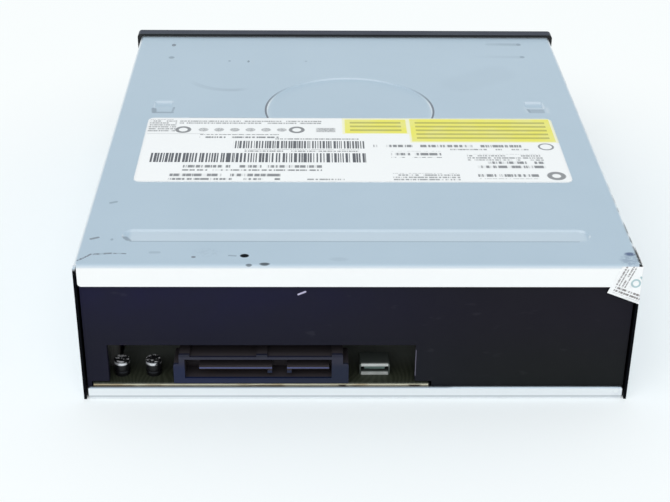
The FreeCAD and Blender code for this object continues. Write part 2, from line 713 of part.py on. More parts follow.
def rear_sockets():
    """The combined connector, its contacts, and a small metal-shelled service socket."""
    body = new_body("sata_housing")
    left, right = "socket_left", "socket_right"
    back, mouth = "rear_y - 8.4", "rear_y - 0.4"
    pad(body, "XZ", back, mouth, polygon(
        (left, "board_high"), (right, "board_high"), (right, "11", "0.6"), (right + " - 1.5", "11"),
        (right + " - 1.5", "14", "0.5"), (right + " - 4.4", "14"), (right + " - 4.4", "13.2"),
        (left + " + 24.5", "13.2"), (left + " + 24.5", "13.9"), (left + " + 21.6", "13.9"),
        (left + " + 21.6", "13.2"), (left + " + 4.5", "13.2"), (left + " + 4.5", "14"),
        (left + " + 1.5", "14", "0.5"), (left + " + 1.5", "11"), (left, "11", "0.6")))
    pocket(body, "XZ", "rear_y - 6.6", "rear_y",
           rect(left + " + 4.5", right + " - 3", "6.5", "12.4"))
    tongues = ((left + " + 20.4", right + " - 6.8"), (left + " + 5.2", left + " + 16.4"))
    for x0, x1 in tongues:
        pad(body, "XZ", "rear_y - 7", "rear_y - 1", rect(x0, x1, "9", "10.2"))
    for x0 in (left + " + 20.4", left + " + 15.2"):
        pad(body, "XZ", "rear_y - 7", "rear_y - 1", rect(x0, x0 + " + 1.2", "7.8", "9.1"))
    strips = []
    for start, count in ((left + " + 22.4", 15), (left + " + 6.4", 7)):
        for i in range(count):
            x0 = "%s + %.2f" % (start, 1.16 * i)
            strips.append(block("contact", x0, x0 + " + 0.7", "rear_y - 6", "rear_y - 1.4", "8.85", "9"))
    group("sata_contacts", strips)
    shell = new_body("service_socket")
    pad(shell, "XZ", "rear_y - 10.3", "rear_y - 4.4",
        rect("-9.1", "-1", "board_high", "board_high + 3.5", "0.4"))
    pocket(shell, "XZ", "rear_y - 9.8", "rear_y",
           rect("-8.8", "-1.3", "board_high + 0.8", "board_high + 2.7"))
    core = new_body("service_socket_core")
    pad(core, "XZ", "rear_y - 9.8", "rear_y - 5.4",
        rect("-7.8", "-2.3", "board_high + 1.3", "board_high + 2.2"))


def front_controls():
    """Eject button with its switch, the lamp and its light pipe."""
    body = new_body("eject_button")
    pad(body, "XZ", "front_y", "button_back", rect(
        "button_x - button_width / 2", "button_x + button_width / 2",
        "button_z - button_height / 2", "button_z + button_height / 2", "0.5"))
    front = number("front_y")
    soften(body, 0.35, lambda edge: on_plane(edge, "y", front))
    plunger = new_body("switch_plunger")
    pad(plunger, "XZ", "button_back", "button_back + 0.65", circle("button_x", "button_z", "1.6"))
    switch = new_body("eject_switch")
    pad(switch, "XZ", "button_back + 1.2", "panel_y",
        rect("button_x - 3", "button_x + 3", "button_z - 3", "button_z + 3", "0.5"))
    lamp = new_body("lamp")
    pad(lamp, "XZ", "panel_y - 1", "panel_y",
        rect("lamp_x - 1", "lamp_x + 1", "button_z - 0.8", "button_z + 0.8"))
    pipe = new_body("light_pipe")
    pad(pipe, "XZ", "front_y + 0.1", "panel_y - 1.2",
        rect("lamp_x - 1.8", "lamp_x + 1.8", "button_z - 0.8", "button_z + 0.8", "0.4"))


def tray():
    """Moulded drawer: recesses for large and small discs, an open slot, side rails and a rack below."""
    body = new_body("tray")
    pad(body, "XY", "slab_low", "tray_top", polygon(
        ("2 - half_tray", "tray_front"), ("half_tray - 2", "tray_front"),
        ("half_tray - 2", "tray_rear", "6"), ("2 - half_tray", "tray_rear", "6")))
    for side in SIDES:
        rail = ("-half_tray", "4 - half_tray") if side else ("half_tray - 4", "half_tray")
        pad(body, "XY", "tray_low", "slab_low", rect(rail[0], rail[1], "tray_front", "tray_rear - 8"))
    pocket(body, "XY", "tray_floor", "tray_top + 1", circle("0", "disc_y", "disc_recess"))
    pocket(body, "XY", "tray_floor - 0.8", "tray_top", circle("0", "disc_y", "small_recess"))
    pocket(body, "XY", "tray_floor - 0.8", "tray_top + 1", circle("0", "disc_y - disc_recess + 3", "11"))
    pocket(body, "XY", "slab_low - 1", "tray_top + 1",
           wrap("0", "disc_y", "slot_half", "0", "tray_rear + slot_half", "slot_half"))
    for side in SIDES:
        hollow = ("7 - half_tray", "-slot_half - 4.5") if side else ("slot_half + 4.5", "half_tray - 7")
        pocket(body, "XY", "slab_low - 1", "tray_top - 1.8",
               rect(hollow[0], hollow[1], "disc_y + disc_recess + 3.5", "tray_rear - 2", "2"))
    pad(body, "XY", "tray_top - 0.5", "door_high - 3",
        rect("9 - half_tray", "half_tray - 9", "tray_front", "tray_front + 2"))
    rim = number("tray_top")
    round_centre = FreeCAD.Vector(0, number("disc_y"), rim)
    recess = number("disc_recess")
    soften(body, 0.6, lambda edge: on_plane(edge, "z", rim) and hasattr(edge.Curve, "Radius")
           and abs(edge.Curve.Radius - recess) < 0.01
           and edge.Curve.Center.distanceToPoint(round_centre) < 0.1)
    bar = ("rack_line - 4", "rack_line - 1.2 * rack_module")
    first = "gear_y - 1.5 * pi * rack_module"
    length = "(rack_teeth - 1) * pi * rack_module"
    pad(body, "XY", "tray_low", "slab_low + 0.2",
        rect(bar[0], bar[1], first + " - 2", first + " + 2 + " + length))
    tooth = pad(body, "XY", "tray_low", "slab_low + 0.2", polygon(
        ("rack_line - 1.25 * rack_module", first + " - 1.12 * rack_module"),
        ("rack_line + 0.95 * rack_module", first + " - 0.34 * rack_module"),
        ("rack_line + 0.95 * rack_module", first + " + 0.34 * rack_module"),
        ("rack_line - 1.25 * rack_module", first + " + 1.12 * rack_module")))
    doc.recompute()
    repeat_along(body, tooth, "Y_Axis", length, "rack_teeth")
    door = new_body("tray_door")
    pad(door, "XZ", "front_y", "tray_front",
        rect("-half_tray - 0.2", "half_tray + 0.2", "door_low", "door_high", "0.7"))
    front = number("front_y")
    soften(door, 0.5, lambda edge: on_plane(edge, "y", front))


def gear_teeth(body, module, count, low, high):
    """Teeth standing round the body's Z axis, their flanks straight chords of the involute."""
    pitch = "%s * %s / 2" % (module, count)
    tooth = pad(body, "XY", low, high, polygon(
        (pitch + " - 1.4 * " + module, "-1.05 * " + module),
        (pitch + " + 0.95 * " + module, "-0.33 * " + module),
        (pitch + " + 0.95 * " + module, "0.33 * " + module),
        (pitch + " - 1.4 * " + module, "1.05 * " + module)))
    doc.recompute()
    repeat_round(body, tooth, count)


def loading_train():
    """Motor, belt, pulley gear and drive gear that move the tray."""
    motor = new_body("loading_motor", "motor_x", "motor_y")
    turn(motor, ("0", "1.4"), ("motor_radius", "1.4", "0.8"), ("motor_radius", "deck_top - wall"),
         ("1.9", "deck_top - wall"), ("1.9", "deck_top - 0.3"), ("0.75", "deck_top - 0.3"),
         ("0.75", "pulley_top - 0.4"), ("0", "pulley_top - 0.4"))
    roller = new_body("motor_pulley", "motor_x", "motor_y")
    rim = "motor_groove + 0.9"
    turn(roller, ("0.8", "roller_low"), (rim, "roller_low"), (rim, "belt_low - 0.7"),
         ("motor_groove", "belt_low - 0.5"),
         ("motor_groove", "belt_low + 1.7"), (rim, "belt_low + 1.9"), (rim, "pulley_top"),
         ("0.8", "pulley_top"))
    belt = new_body("drive_belt")
    inside = ("motor_groove + 0.1", "pulley_groove + 0.1")
    pad(belt, "XY", "belt_low", "belt_low + belt_size",
        wrap("pulley_x", "gear_y", inside[1] + " + belt_size",
             "motor_x", "motor_y", inside[0] + " + belt_size"),
        wrap("pulley_x", "gear_y", inside[1], "motor_x", "motor_y", inside[0]))
    wheel = new_body("pulley_gear", "pulley_x", "gear_y", "0", 180.0 / SIZES["pinion_teeth"])
    bore = "pulley_post + 0.05"
    root = "pinion_radius - 1.25 * train_module"
    turn(wheel, (bore, "roller_low"), ("pulley_radius", "roller_low"), ("pulley_radius", "belt_low - 0.7"),
         ("pulley_groove", "belt_low - 0.3"), ("pulley_groove", "belt_low + 1.5"),
         ("pulley_radius", "belt_low + 1.9"),
         ("pulley_radius", "pulley_top"), (root, "pulley_top"), (root, "pinion_top"), (bore, "pinion_top"))
    gear_teeth(wheel, "train_module", "pinion_teeth", "pulley_top", "pinion_top")
    drive = new_body("drive_gear", "drive_x", "gear_y")
    bore = "drive_post + 0.05"
    wheel_root = "wheel_radius - 1.25 * train_module"
    drive_root = "drive_radius - 1.25 * rack_module"
    turn(drive, (bore, "wheel_low"), (wheel_root, "wheel_low"), (wheel_root, "wheel_top"),
         (drive_root, "wheel_top"), (drive_root, "drive_top"), (bore, "drive_top"))
    gear_teeth(drive, "train_module", "wheel_teeth", "wheel_low", "wheel_top")
    gear_teeth(drive, "rack_module", "drive_teeth", "wheel_top - 0.2", "drive_top")
    caps = []
    for x, post, z in (("drive_x", "drive_post", "drive_cap"), ("pulley_x", "pulley_post", "pulley_cap")):
        cap = new_body("cap", x, "gear_y", z, keep=False)
        turn(cap, ("0", "0"), (post + " + 0.9", "0"), (post + " + 0.9", "0.55", "0.2"), ("0", "0.55"))
        caps.append(cap)
    group("gear_caps", caps)


def lift():
    """Cam slider, lift frame and traverse plate with its dampers."""
    slider = new_body("cam_slider")
    pad(slider, "XZ", "deck_rear + 1", "deck_rear + 3.5",
        rect("-pin_x - 19", "pin_x + 6", "2.6", "cam_top", "1"))
    for side in SIDES:
        high_x = side + "pin_x"
        pocket(slider, "XZ", "deck_rear + 0.5", "deck_rear + 4.5", wrap(
            high_x, "pin_z", "pin_radius + 0.25", high_x + " - cam_travel", "pin_z - cam_drop",
            "pin_radius + 0.25"))
    frame = new_body("lift_frame")
    pad(frame, "XY", "frame_low", "frame_high",
        rect("-frame_half", "frame_half", "frame_front", "frame_rear", "3"),
        rect("14 - frame_half", "frame_half - 14", "frame_front + 6", "frame_rear - 7", "3"))
    for side in SIDES:
        trunnion = ("-frame_half - 4", "0.5 - frame_half") if side else ("frame_half - 0.5", "frame_half + 4")
        ear = ("-frame_half", "3 - frame_half") if side else ("frame_half - 3", "frame_half")
        pad(frame, "YZ", ear[0], ear[1], circle("pivot_y", "pivot_z", "2.8"))
        pad(frame, "YZ", trunnion[0], trunnion[1], circle("pivot_y", "pivot_z", "pin_radius"))
        pad(frame, "XZ", "deck_rear + 1.3", "frame_front + 0.5",
            circle(side + "pin_x", "pin_z", "pin_radius"))
    spots = [(side + "grommet_x", y) for side in SIDES for y in ("grommet_front", "grommet_rear")]
    pocket(frame, "XY", "frame_low - 1", "frame_high + 1", *[circle(x, y, "1.3") for x, y in spots])
    plate = new_body("traverse_plate")
    pad(plate, "XY", "traverse_low", "traverse_high",
        rect("-traverse_half", "traverse_half", "traverse_front", "traverse_rear", "4"),
        rect("-rod_x - 3.8", "rod_x + 3.8", "disc_y + 16", "traverse_rear - 3.5", "2"))
    pocket(plate, "XY", "traverse_low - 1", "traverse_high + 1",
           circle("0", "disc_y", "4.3"),
           rect("screw_x - 4.6", "screw_x + 4.6", "rod_front - 10.6", "rod_front + 2.6"),
           *[circle(x, y, "1.3") for x, y in spots])
    grommets, screws = [], []
    for x, y in spots:
        ring = new_body("grommet", x, y, "frame_high", keep=False)
        rise = "traverse_low - frame_high"
        turn(ring, ("1.3", "0"), ("3.2", "0", "0.4"), ("3.2", rise, "0.4"), ("1.3", rise))
        grommets.append(ring)
        screw = new_body("screw", x, y, "0", keep=False)
        turn(screw, ("0", "frame_low"), ("1.2", "frame_low"), ("1.2", "traverse_high"),
             ("2.5", "traverse_high"),
             ("2.5", "traverse_high + 0.9", "0.3"), ("0", "traverse_high + 0.9"))
        screws.append(screw)
    group("damper_grommets", grommets)
    group("damper_screws", screws)


def spindle():
    """Spindle motor, turntable and the clamp above it."""
    base = new_body("spindle_base")
    pad(base, "XY", "traverse_high", "traverse_high + 0.8",
        circle("0", "disc_y", "rotor_radius - 0.5"), circle("0", "disc_y", "4.1"))
    bush = new_body("spindle_bearing", "0", "disc_y")
    bore = "spindle_radius + 0.05"
    turn(bush, ("0", "bush_low"), ("4", "bush_low"), ("4", "coil_low - 0.6"), ("2.6", "coil_low - 0.6"),
         ("2.6", "coil_high + 0.2"), (bore, "coil_high + 0.2"), (bore, "bush_low + 1"), ("0", "bush_low + 1"))
    coils = new_body("spindle_coils", "0", "disc_y")
    turn(coils, ("2.65", "coil_low"), ("5", "coil_low"), ("5", "coil_high"), ("2.65", "coil_high"))
    arm = pad(coils, "XY", "coil_low + 0.2", "coil_high - 0.2", rect("4", "10.5", "-1.6", "1.6"))
    doc.recompute()
    repeat_round(coils, arm, "9")
    shaft = new_body("spindle_shaft", "0", "disc_y")
    turn(shaft, ("0", "bush_low + 1.2"), ("spindle_radius", "bush_low + 1.2"),
         ("spindle_radius", "hub_high - 0.6"), ("0", "hub_high - 0.6"))
    cup = new_body("rotor_cup", "0", "disc_y")
    turn(cup, ("spindle_radius", "rotor_high - 1"), ("rotor_radius - 1.2", "rotor_high - 1"),
         ("rotor_radius - 1.2", "rotor_low"), ("rotor_radius", "rotor_low"),
         ("rotor_radius", "rotor_high", "0.6"),
         ("spindle_radius", "rotor_high"))
    table = new_body("turntable", "0", "disc_y")
    turn(table, ("spindle_radius", "rotor_high"), ("table_radius", "rotor_high + 1.6"),
         ("table_radius", "table_high"), ("hub_radius", "table_high"), ("hub_radius", "hub_high - 1.2"),
         ("hub_radius - 1.2", "hub_high", "0.4"), ("spindle_radius", "hub_high"))
    ring = new_body("friction_ring", "0", "disc_y")
    turn(ring, ("table_radius - 4", "table_high"), ("table_radius - 0.2", "table_high"),
         ("table_radius - 0.2", "table_high + ring_height"), ("table_radius - 4", "table_high + ring_height"))
    bridge = new_body("clamper_bridge")
    pad(bridge, "XY", "bridge_high - 1.5", "bridge_high",
        rect("0.3 - side_wall", "side_wall - 0.3", "disc_y - 8", "disc_y + 8", "2"))
    pad(bridge, "XY", "bridge_low", "bridge_high", circle("0", "disc_y", "cup_radius"))
    pocket(bridge, "XY", "bridge_low + 1.5", "bridge_high + 1", circle("0", "disc_y", "cup_radius - 2"))
    pocket(bridge, "XY", "bridge_low - 1", "bridge_low + 2", circle("0", "disc_y", "puck_neck + 0.6"))
    puck = new_body("clamper_puck", "0", "disc_y")
    seat = "bridge_low + 1.7"
    turn(puck, ("0", "puck_low + 2"), ("hub_radius + 1", "puck_low + 2"), ("hub_radius + 1", "puck_low"),
         ("puck_neck", "puck_low", "0.5"), ("puck_neck", seat), ("puck_flange", seat),
         ("puck_flange", seat + " + 1.5", "0.5"), ("0", seat + " + 1.5"))
    yoke = new_body("clamper_yoke", "0", "disc_y")
    turn(yoke, ("0", seat + " + 1.5"), ("11", seat + " + 1.5"),
         ("11", seat + " + 2.5", "0.3"), ("0", seat + " + 2.5"))


def sled():
    """Guide rods, lead screw, sled motor and the optical pickup with its sprung lens."""
    rod_rear = "traverse_rear"
    for label, x in (("main_guide_rod", "-rod_x"), ("sub_guide_rod", "rod_x")):
        rod = new_body(label)
        pad(rod, "XZ", "rod_front", rod_rear, circle(x, "rod_z", "rod_radius"))
    holders = []
    for side in SIDES:
        x = side + "rod_x"
        for y0, y1 in (("rod_front", "rod_front + 3"), ("traverse_rear - 3", "traverse_rear")):
            holder = new_body("holder", keep=False)
            pad(holder, "XZ", y0, y1, polygon(
                (x + " - 3", "traverse_high"), (x + " + 3", "traverse_high"),
                (x + " + 3", "rod_z + 2.6", "1"), (x + " - 3", "rod_z + 2.6", "1")),
                circle(x, "rod_z", "rod_radius"))
            holders.append(holder)
    group("rod_holders", holders)
    motor = new_body("sled_motor")
    pad(motor, "XZ", "rod_front - 10", "rod_front - 0.3", circle("screw_x", "rod_z", "4"))
    screw = new_body("lead_screw")
    pad(screw, "XZ", "rod_front", "traverse_rear - 1", circle("screw_x", "rod_z", "screw_radius"))
    body = new_body("pickup_housing")
    pad(body, "XY", "pickup_low", "pickup_high - 1",
        rect("3 - rod_x", "rod_x - 3", "pickup_front", "pickup_rear", "2"))
    for side in SIDES:
        x = side + "rod_x"
        pad(body, "XZ", "pickup_front + 2", "pickup_rear - 2",
            rect(x + " - 3.2", x + " + 3.2", "rod_z - 1.7 - rod_radius", "rod_z + 1.7 + rod_radius", "1"))
        pocket(body, "XZ", "pickup_front - 1", "pickup_rear + 1", circle(x, "rod_z", "rod_radius + 0.05"))
    pocket(body, "XY", "pickup_low - 1", "pickup_low + 4",
           rect("9 - rod_x", "rod_x - 9", "pickup_front + 3", "pickup_rear - 3", "2"))
    lid = new_body("pickup_cover")
    pad(lid, "XY", "pickup_high - 1", "pickup_high - 0.4",
        rect("5 - rod_x", "rod_x - 5", "pickup_front + 0.5", "pickup_rear - 0.5", "2"),
        circle("0", "lens_y", "5.5"))
    nut = new_body("pickup_nut")
    pad(nut, "XZ", "pickup_front + 6", "pickup_front + 12",
        rect("rod_x + 3.2", "screw_x + 3", "traverse_high + 0.4", "rod_z + 2.6", "0.5"),
        circle("screw_x", "rod_z", "screw_radius + 0.05"))
    stage = new_body("actuator_base")
    pad(stage, "XY", "pickup_high - 0.4", "stage_high",
        rect("-14.5", "14.5", "pickup_front + 0.8", "pickup_front + 14.5", "1"),
        rect("-9.2", "9.2", "lens_y - 4.6", "lens_y + 4.6", "1"))
    holder = new_body("lens_holder")
    pad(holder, "XY", "holder_low", "stage_high", rect("-8", "8", "lens_y - 4", "lens_y + 4", "0.8"),
        circle("0", "lens_y", "lens_radius"))
    lens = new_body("objective_lens", "0", "lens_y", "holder_low + 0.2")
    turn(lens, ("0", "0"), ("lens_radius", "0"), ("lens_radius", "1.8"),
         ("lens_radius * 0.75", "2.5", "0.5"), ("0", "2.8"))


def trim():
    """Case screws and the paper label on the top."""
    screws = []
    for x, y in case_screw_spots():
        screw = new_body("screw", x, y, "0", keep=False)
        turn(screw, ("0", "0.1"), ("2.6", "0.1", "0.3"), ("2.6", "1"), ("1.45", "1"), ("1.45", "7"),
             ("0", "7"))
        screws.append(screw)
    group("case_screws", screws)
    label = new_body("rating_label")
    pad(label, "XY", "case_height", "case_height + 0.12",
        rect("10.2 - half_case", "half_case - 10.2", "disc_y + 7.4", "disc_y + 52", "2"))


top_cover()
bottom_plate()
main_chassis()
front_bezel()
boards()
rear_sockets()
front_controls()
tray()
loading_train()
lift()
spindle()
sled()
trim()
doc.recompute()

problems = []
for item in doc.Objects:
    bad = [word for word in item.State if word in ("Invalid", "Error")]
    if bad:
        owner = item.getParentGeoFeatureGroup()
        place = owner.Label if owner else ""
        problems.append("%s %s in %s: %s" % (item.Name, bad, place, item.getStatusString()))
for feature in CUTS:
    if feature.Shape.isNull() or feature.BaseFeature.Shape.isNull():
        continue
    if feature.Shape.Volume >= feature.BaseFeature.Shape.Volume - 1e-6:
        problems.append("%s in %s cuts nothing" % (feature.Name, feature.getParentGeoFeatureGroup().Label))
for item in PARTS:
    if item.Shape.isNull() or not item.Shape.isValid():
        problems.append("%s has no valid shape" % item.Label)
if problems:
    raise SystemExit("\n".join(problems))

for item in PARTS:
    item.Shape.exportStep("parts/%s.step" % item.Label)
    box = item.Shape.BoundBox
    print("%-20s %2d solids  X %7.2f %7.2f  Y %7.2f %7.2f  Z %6.2f %6.2f" % (
        item.Label, len(item.Shape.Solids), box.XMin, box.XMax, box.YMin, box.YMax, box.ZMin, box.ZMax))
print(len(PARTS), "parts")
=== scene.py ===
# %% [markdown]
# # A half-height disc drive, dressed in Blender
#
# The drive's solids come from the CAD model and are never moved or reshaped here. This lesson gives
# every one of them a finish, adds the small pieces that are easier to shape as surfaces (screw heads
# with cross recesses, the thread of the lead screw, a paper seal), and sets up a plain studio round
# it. Lengths are metres, and X runs to the right seen from the front, Y from the bezel to the rear.

# %% Load the CAD frame
import bpy
import json
import math
import numpy as np
from mathutils import Matrix, Vector


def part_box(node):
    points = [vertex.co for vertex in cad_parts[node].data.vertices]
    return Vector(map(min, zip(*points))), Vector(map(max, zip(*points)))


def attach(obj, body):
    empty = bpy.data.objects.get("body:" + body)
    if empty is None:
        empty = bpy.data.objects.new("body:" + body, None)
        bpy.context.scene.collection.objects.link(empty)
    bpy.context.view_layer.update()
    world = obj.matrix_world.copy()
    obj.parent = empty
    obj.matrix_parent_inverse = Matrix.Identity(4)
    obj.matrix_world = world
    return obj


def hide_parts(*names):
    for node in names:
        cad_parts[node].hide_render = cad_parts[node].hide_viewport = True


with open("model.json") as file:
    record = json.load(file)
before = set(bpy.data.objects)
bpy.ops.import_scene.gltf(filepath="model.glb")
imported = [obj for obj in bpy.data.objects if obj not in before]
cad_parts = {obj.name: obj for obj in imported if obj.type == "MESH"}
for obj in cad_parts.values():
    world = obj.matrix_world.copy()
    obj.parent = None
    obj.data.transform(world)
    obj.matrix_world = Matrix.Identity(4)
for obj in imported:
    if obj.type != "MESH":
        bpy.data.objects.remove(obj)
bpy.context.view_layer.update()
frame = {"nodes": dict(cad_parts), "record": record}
nodes = frame["nodes"]
MM = 0.001

# %% [markdown]
# ## The camera
#
# The photograph looks down at the rear from about 40 cm away. A camera has a place, a heading and a
# lens. The heading is easiest as three unit vectors: back towards the eye, right and up, with a small
# roll about the line of sight, so that level edges lean a little, as they do in the photograph.

# %% Camera at the photograph's viewpoint
EYE = (0.01197, 0.39256, 0.21811)
ELEVATION = math.radians(29.27)
AZIMUTH = math.radians(1.10)
ROLL = math.radians(0.60)
PICTURE_WIDTH = 670
FOCAL_PIXELS = 1391.8
SENSOR = 36.0


def camera_axes(azimuth, elevation, roll):
    """Columns right, up, back: back points from scene to eye, right is level, then both roll about it."""
    back = np.array([math.sin(azimuth) * math.cos(elevation), math.cos(azimuth) * math.cos(elevation),
                     math.sin(elevation)])
    right = np.cross(-back, [0.0, 0.0, 1.0])
    right /= np.linalg.norm(right)
    up = np.cross(back, right)
    rolled_right = math.cos(roll) * right + math.sin(roll) * up
    rolled_up = np.cross(back, rolled_right)
    return np.column_stack([rolled_right, rolled_up, back])


camera_data = bpy.data.cameras.new("studio_camera")
camera_data.sensor_fit = "HORIZONTAL"
camera_data.sensor_width = SENSOR
camera_data.lens = FOCAL_PIXELS / PICTURE_WIDTH * SENSOR
camera_data.clip_start = 0.01
camera_data.clip_end = 50.0
camera = bpy.data.objects.new("studio_camera", camera_data)
bpy.context.scene.collection.objects.link(camera)
pose = np.eye(4)
pose[:3, :3] = camera_axes(AZIMUTH, ELEVATION, ROLL)
pose[:3, 3] = EYE
camera.matrix_world = Matrix(pose.tolist())
bpy.context.scene.camera = camera
bpy.context.scene.view_settings.view_transform = "Standard"
print("lens %.1f mm" % camera_data.lens)

# %% [markdown]
# ## Small tools for node materials
#
# A procedural material is a graph of nodes. Small helpers keep the graphs short: they add a node and
# plug its inputs in order, mix two colours, or turn a position into millimetres, so that a mask can
# place each mark by the same sizes as on the drive itself.

# %% Node helpers
def plug(tree, socket, value):
    """Link a socket to another, or set its value; None leaves it as it is."""
    if isinstance(value, bpy.types.NodeSocket):
        tree.links.new(value, socket)
    elif value is not None:
        socket.default_value = value


def add(tree, kind, *inputs, **settings):
    """Add a shader node, set its attributes, fill its inputs in order, and give back its first output."""
    node = tree.nodes.new("ShaderNode" + kind)
    for name, value in settings.items():
        setattr(node, name, value)
    for socket, value in zip(node.inputs, inputs):
        plug(tree, socket, value)
    return node.outputs[0]


def calc(tree, operation, *values):
    """One step of arithmetic."""
    return add(tree, "Math", *values, operation=operation)


def blend(tree, share, first, second):
    """first where share is 0, second where it is 1."""
    node = tree.nodes.new("ShaderNodeMix")
    node.data_type = "RGBA"
    for index, value in ((0, share), (6, first), (7, second)):
        plug(tree, node.inputs[index], value)
    return node.outputs[2]


def ramp(tree, value, start, stop, low=0.0, high=1.0, soft=True):
    """low up to start, high past stop, an easy slope between."""
    kind = "SMOOTHSTEP" if soft else "LINEAR"
    return add(tree, "MapRange", value, start, stop, low, high, interpolation_type=kind)


NOISE_ROUGHNESS = 0.55


def noise(tree, point, scale, detail=3.0):
    """A soft random field of that many cells per unit of point, from 0 to 1."""
    node = tree.nodes.new("ShaderNodeTexNoise")
    plug(tree, node.inputs["Vector"], point)
    node.inputs["Scale"].default_value = scale
    node.inputs["Detail"].default_value = detail
    node.inputs["Roughness"].default_value = NOISE_ROUGHNESS
    return node.outputs[0]


def paint(red, green, blue):
    """A colour as read off a picture, 0 to 255, made linear."""
    seen = np.array([red, green, blue]) / 255.0
    linear = np.where(seen <= 0.04045, seen / 12.92, ((seen + 0.055) / 1.055) ** 2.4)
    return tuple(float(v) for v in linear) + (1.0,)


def tint(colour, factor):
    """The same colour, lighter or darker, and never past white."""
    return tuple(min(1.0, c * factor) for c in colour[:3]) + (1.0,)


print("helpers ready")

# %% Places on the drive, in millimetres
def millimetres(tree, scale=(1.0, 1.0, 1.0)):
    """Object coordinates in millimetres, stretched per axis where a grain runs one way."""
    where = tree.nodes.new("ShaderNodeTexCoord").outputs["Object"]
    node = tree.nodes.new("ShaderNodeMapping")
    tree.links.new(where, node.inputs["Vector"])
    node.inputs["Scale"].default_value = [s / MM for s in scale]
    return node.outputs[0]


def axes(tree, point):
    """The three parts of a vector."""
    node = tree.nodes.new("ShaderNodeSeparateXYZ")
    tree.links.new(point, node.inputs[0])
    return node.outputs[0], node.outputs[1], node.outputs[2]


def times(tree, *masks):
    """The product of masks and plain numbers."""
    result = masks[0]
    for mask in masks[1:]:
        result = calc(tree, "MULTIPLY", result, mask)
    return result


def between(tree, value, low, high, soft=0.15):
    """1 inside the span, 0 outside, with soft ends."""
    rise = ramp(tree, value, low - soft, low + soft)
    fall = ramp(tree, value, high - soft, high + soft, 1.0, 0.0)
    return times(tree, rise, fall)


def patch(tree, x, y, x0, x1, y0, y1, soft=0.15):
    """1 inside a rectangle."""
    return times(tree, between(tree, x, x0, x1, soft), between(tree, y, y0, y1, soft))


def spot(tree, x, y, cx, cy, wide, high, soft=0.35):
    """1 inside an ellipse: the squared distance over the half widths, eased out at its rim."""
    dx = calc(tree, "DIVIDE", calc(tree, "SUBTRACT", x, cx), wide)
    dy = calc(tree, "DIVIDE", calc(tree, "SUBTRACT", y, cy), high)
    square = calc(tree, "ADD", times(tree, dx, dx), times(tree, dy, dy))
    return ramp(tree, square, 1.0 - soft, 1.0 + soft, 1.0, 0.0)


def most(tree, *masks):
    """The strongest of several masks."""
    result = masks[0]
    for mask in masks[1:]:
        result = calc(tree, "MAXIMUM", result, mask)
    return result


def weighted(tree, *pairs):
    """The strongest of several masks, each first scaled by its weight."""
    return most(tree, *[times(tree, mask, weight) for weight, mask in pairs])


def flat(tree, x, y):
    """A point in a plane, as a vector."""
    node = tree.nodes.new("ShaderNodeCombineXYZ")
    plug(tree, node.inputs[0], x)
    plug(tree, node.inputs[1], y)
    return node.outputs[0]


def vec(tree, operation, first, second=None, factor=None):
    """One step of vector arithmetic: a vector, or a number for a dot product or a length."""
    node = tree.nodes.new("ShaderNodeVectorMath")
    node.operation = operation
    plug(tree, node.inputs[0], first)
    plug(tree, node.inputs[1], second)
    if operation == "SCALE":
        plug(tree, node.inputs["Scale"], factor)
    return node.outputs["Value" if operation in ("DOT_PRODUCT", "LENGTH") else "Vector"]


def stroke(tree, plan, start, end, width):
    """1 near the line from start to end: the distance to its nearest point, eased out at the width."""
    along = (end[0] - start[0], end[1] - start[1], 0.0)
    offset = vec(tree, "SUBTRACT", plan, start + (0.0,))
    reach = vec(tree, "DOT_PRODUCT", offset, along)
    square = along[0] ** 2 + along[1] ** 2
    share = add(tree, "Math", reach, square, operation="DIVIDE", use_clamp=True)
    nearest = vec(tree, "SCALE", along, None, share)
    gap = vec(tree, "LENGTH", vec(tree, "SUBTRACT", offset, nearest))
    return ramp(tree, gap, 0.4 * width, width, 1.0, 0.0)


def ring(tree, plan, centre, radius, width):
    """1 on a circle's line of that width."""
    radial = vec(tree, "LENGTH", vec(tree, "SUBTRACT", plan, centre + (0.0,)))
    gap = calc(tree, "ABSOLUTE", calc(tree, "SUBTRACT", radial, radius))
    return ramp(tree, gap, 0.3 * width, 0.6 * width, 1.0, 0.0)


def new_finish(name):
    """An empty material: its tree and its shader."""
    material = bpy.data.materials.new(name)
    material.use_nodes = True
    return material, material.node_tree, material.node_tree.nodes["Principled BSDF"]


def bump(tree, shader, height, strength, depth):
    """Raise the surface by height times depth, in metres."""
    node = tree.nodes.new("ShaderNodeBump")
    node.inputs["Strength"].default_value = strength
    node.inputs["Distance"].default_value = depth
    tree.links.new(height, node.inputs["Height"])
    tree.links.new(node.outputs[0], shader.inputs["Normal"])


print("mask helpers ready")

# %% [markdown]
# ## Floor, sky and lamp
#
# The photograph is nearly shadowless: a white table under a wide pale sky. A big pale disc is the
# floor. Close to the drive it keeps the shadow, and further out the eye and mirrors see it fade
# towards plain white. The sky that mirrors see is white at the horizon and a cool grey overhead,
# because bright sheet steel has hardly a colour of its own: its upright faces mirror the white table
# and its top mirrors the ceiling. One broad lamp above and behind gives the soft shadow.

# %% The floor
def grid_faces(rows, columns, closed):
    """Quads between the rows of a grid; a closed grid joins its last column to its first."""
    steps = columns if closed else columns - 1
    row, step = np.meshgrid(np.arange(rows - 1), np.arange(steps), indexing="ij")
    after = (step + 1) % columns
    here, there = row * columns, (row + 1) * columns
    return np.stack([here + step, there + step, there + after, here + after], axis=-1).reshape(-1, 4)


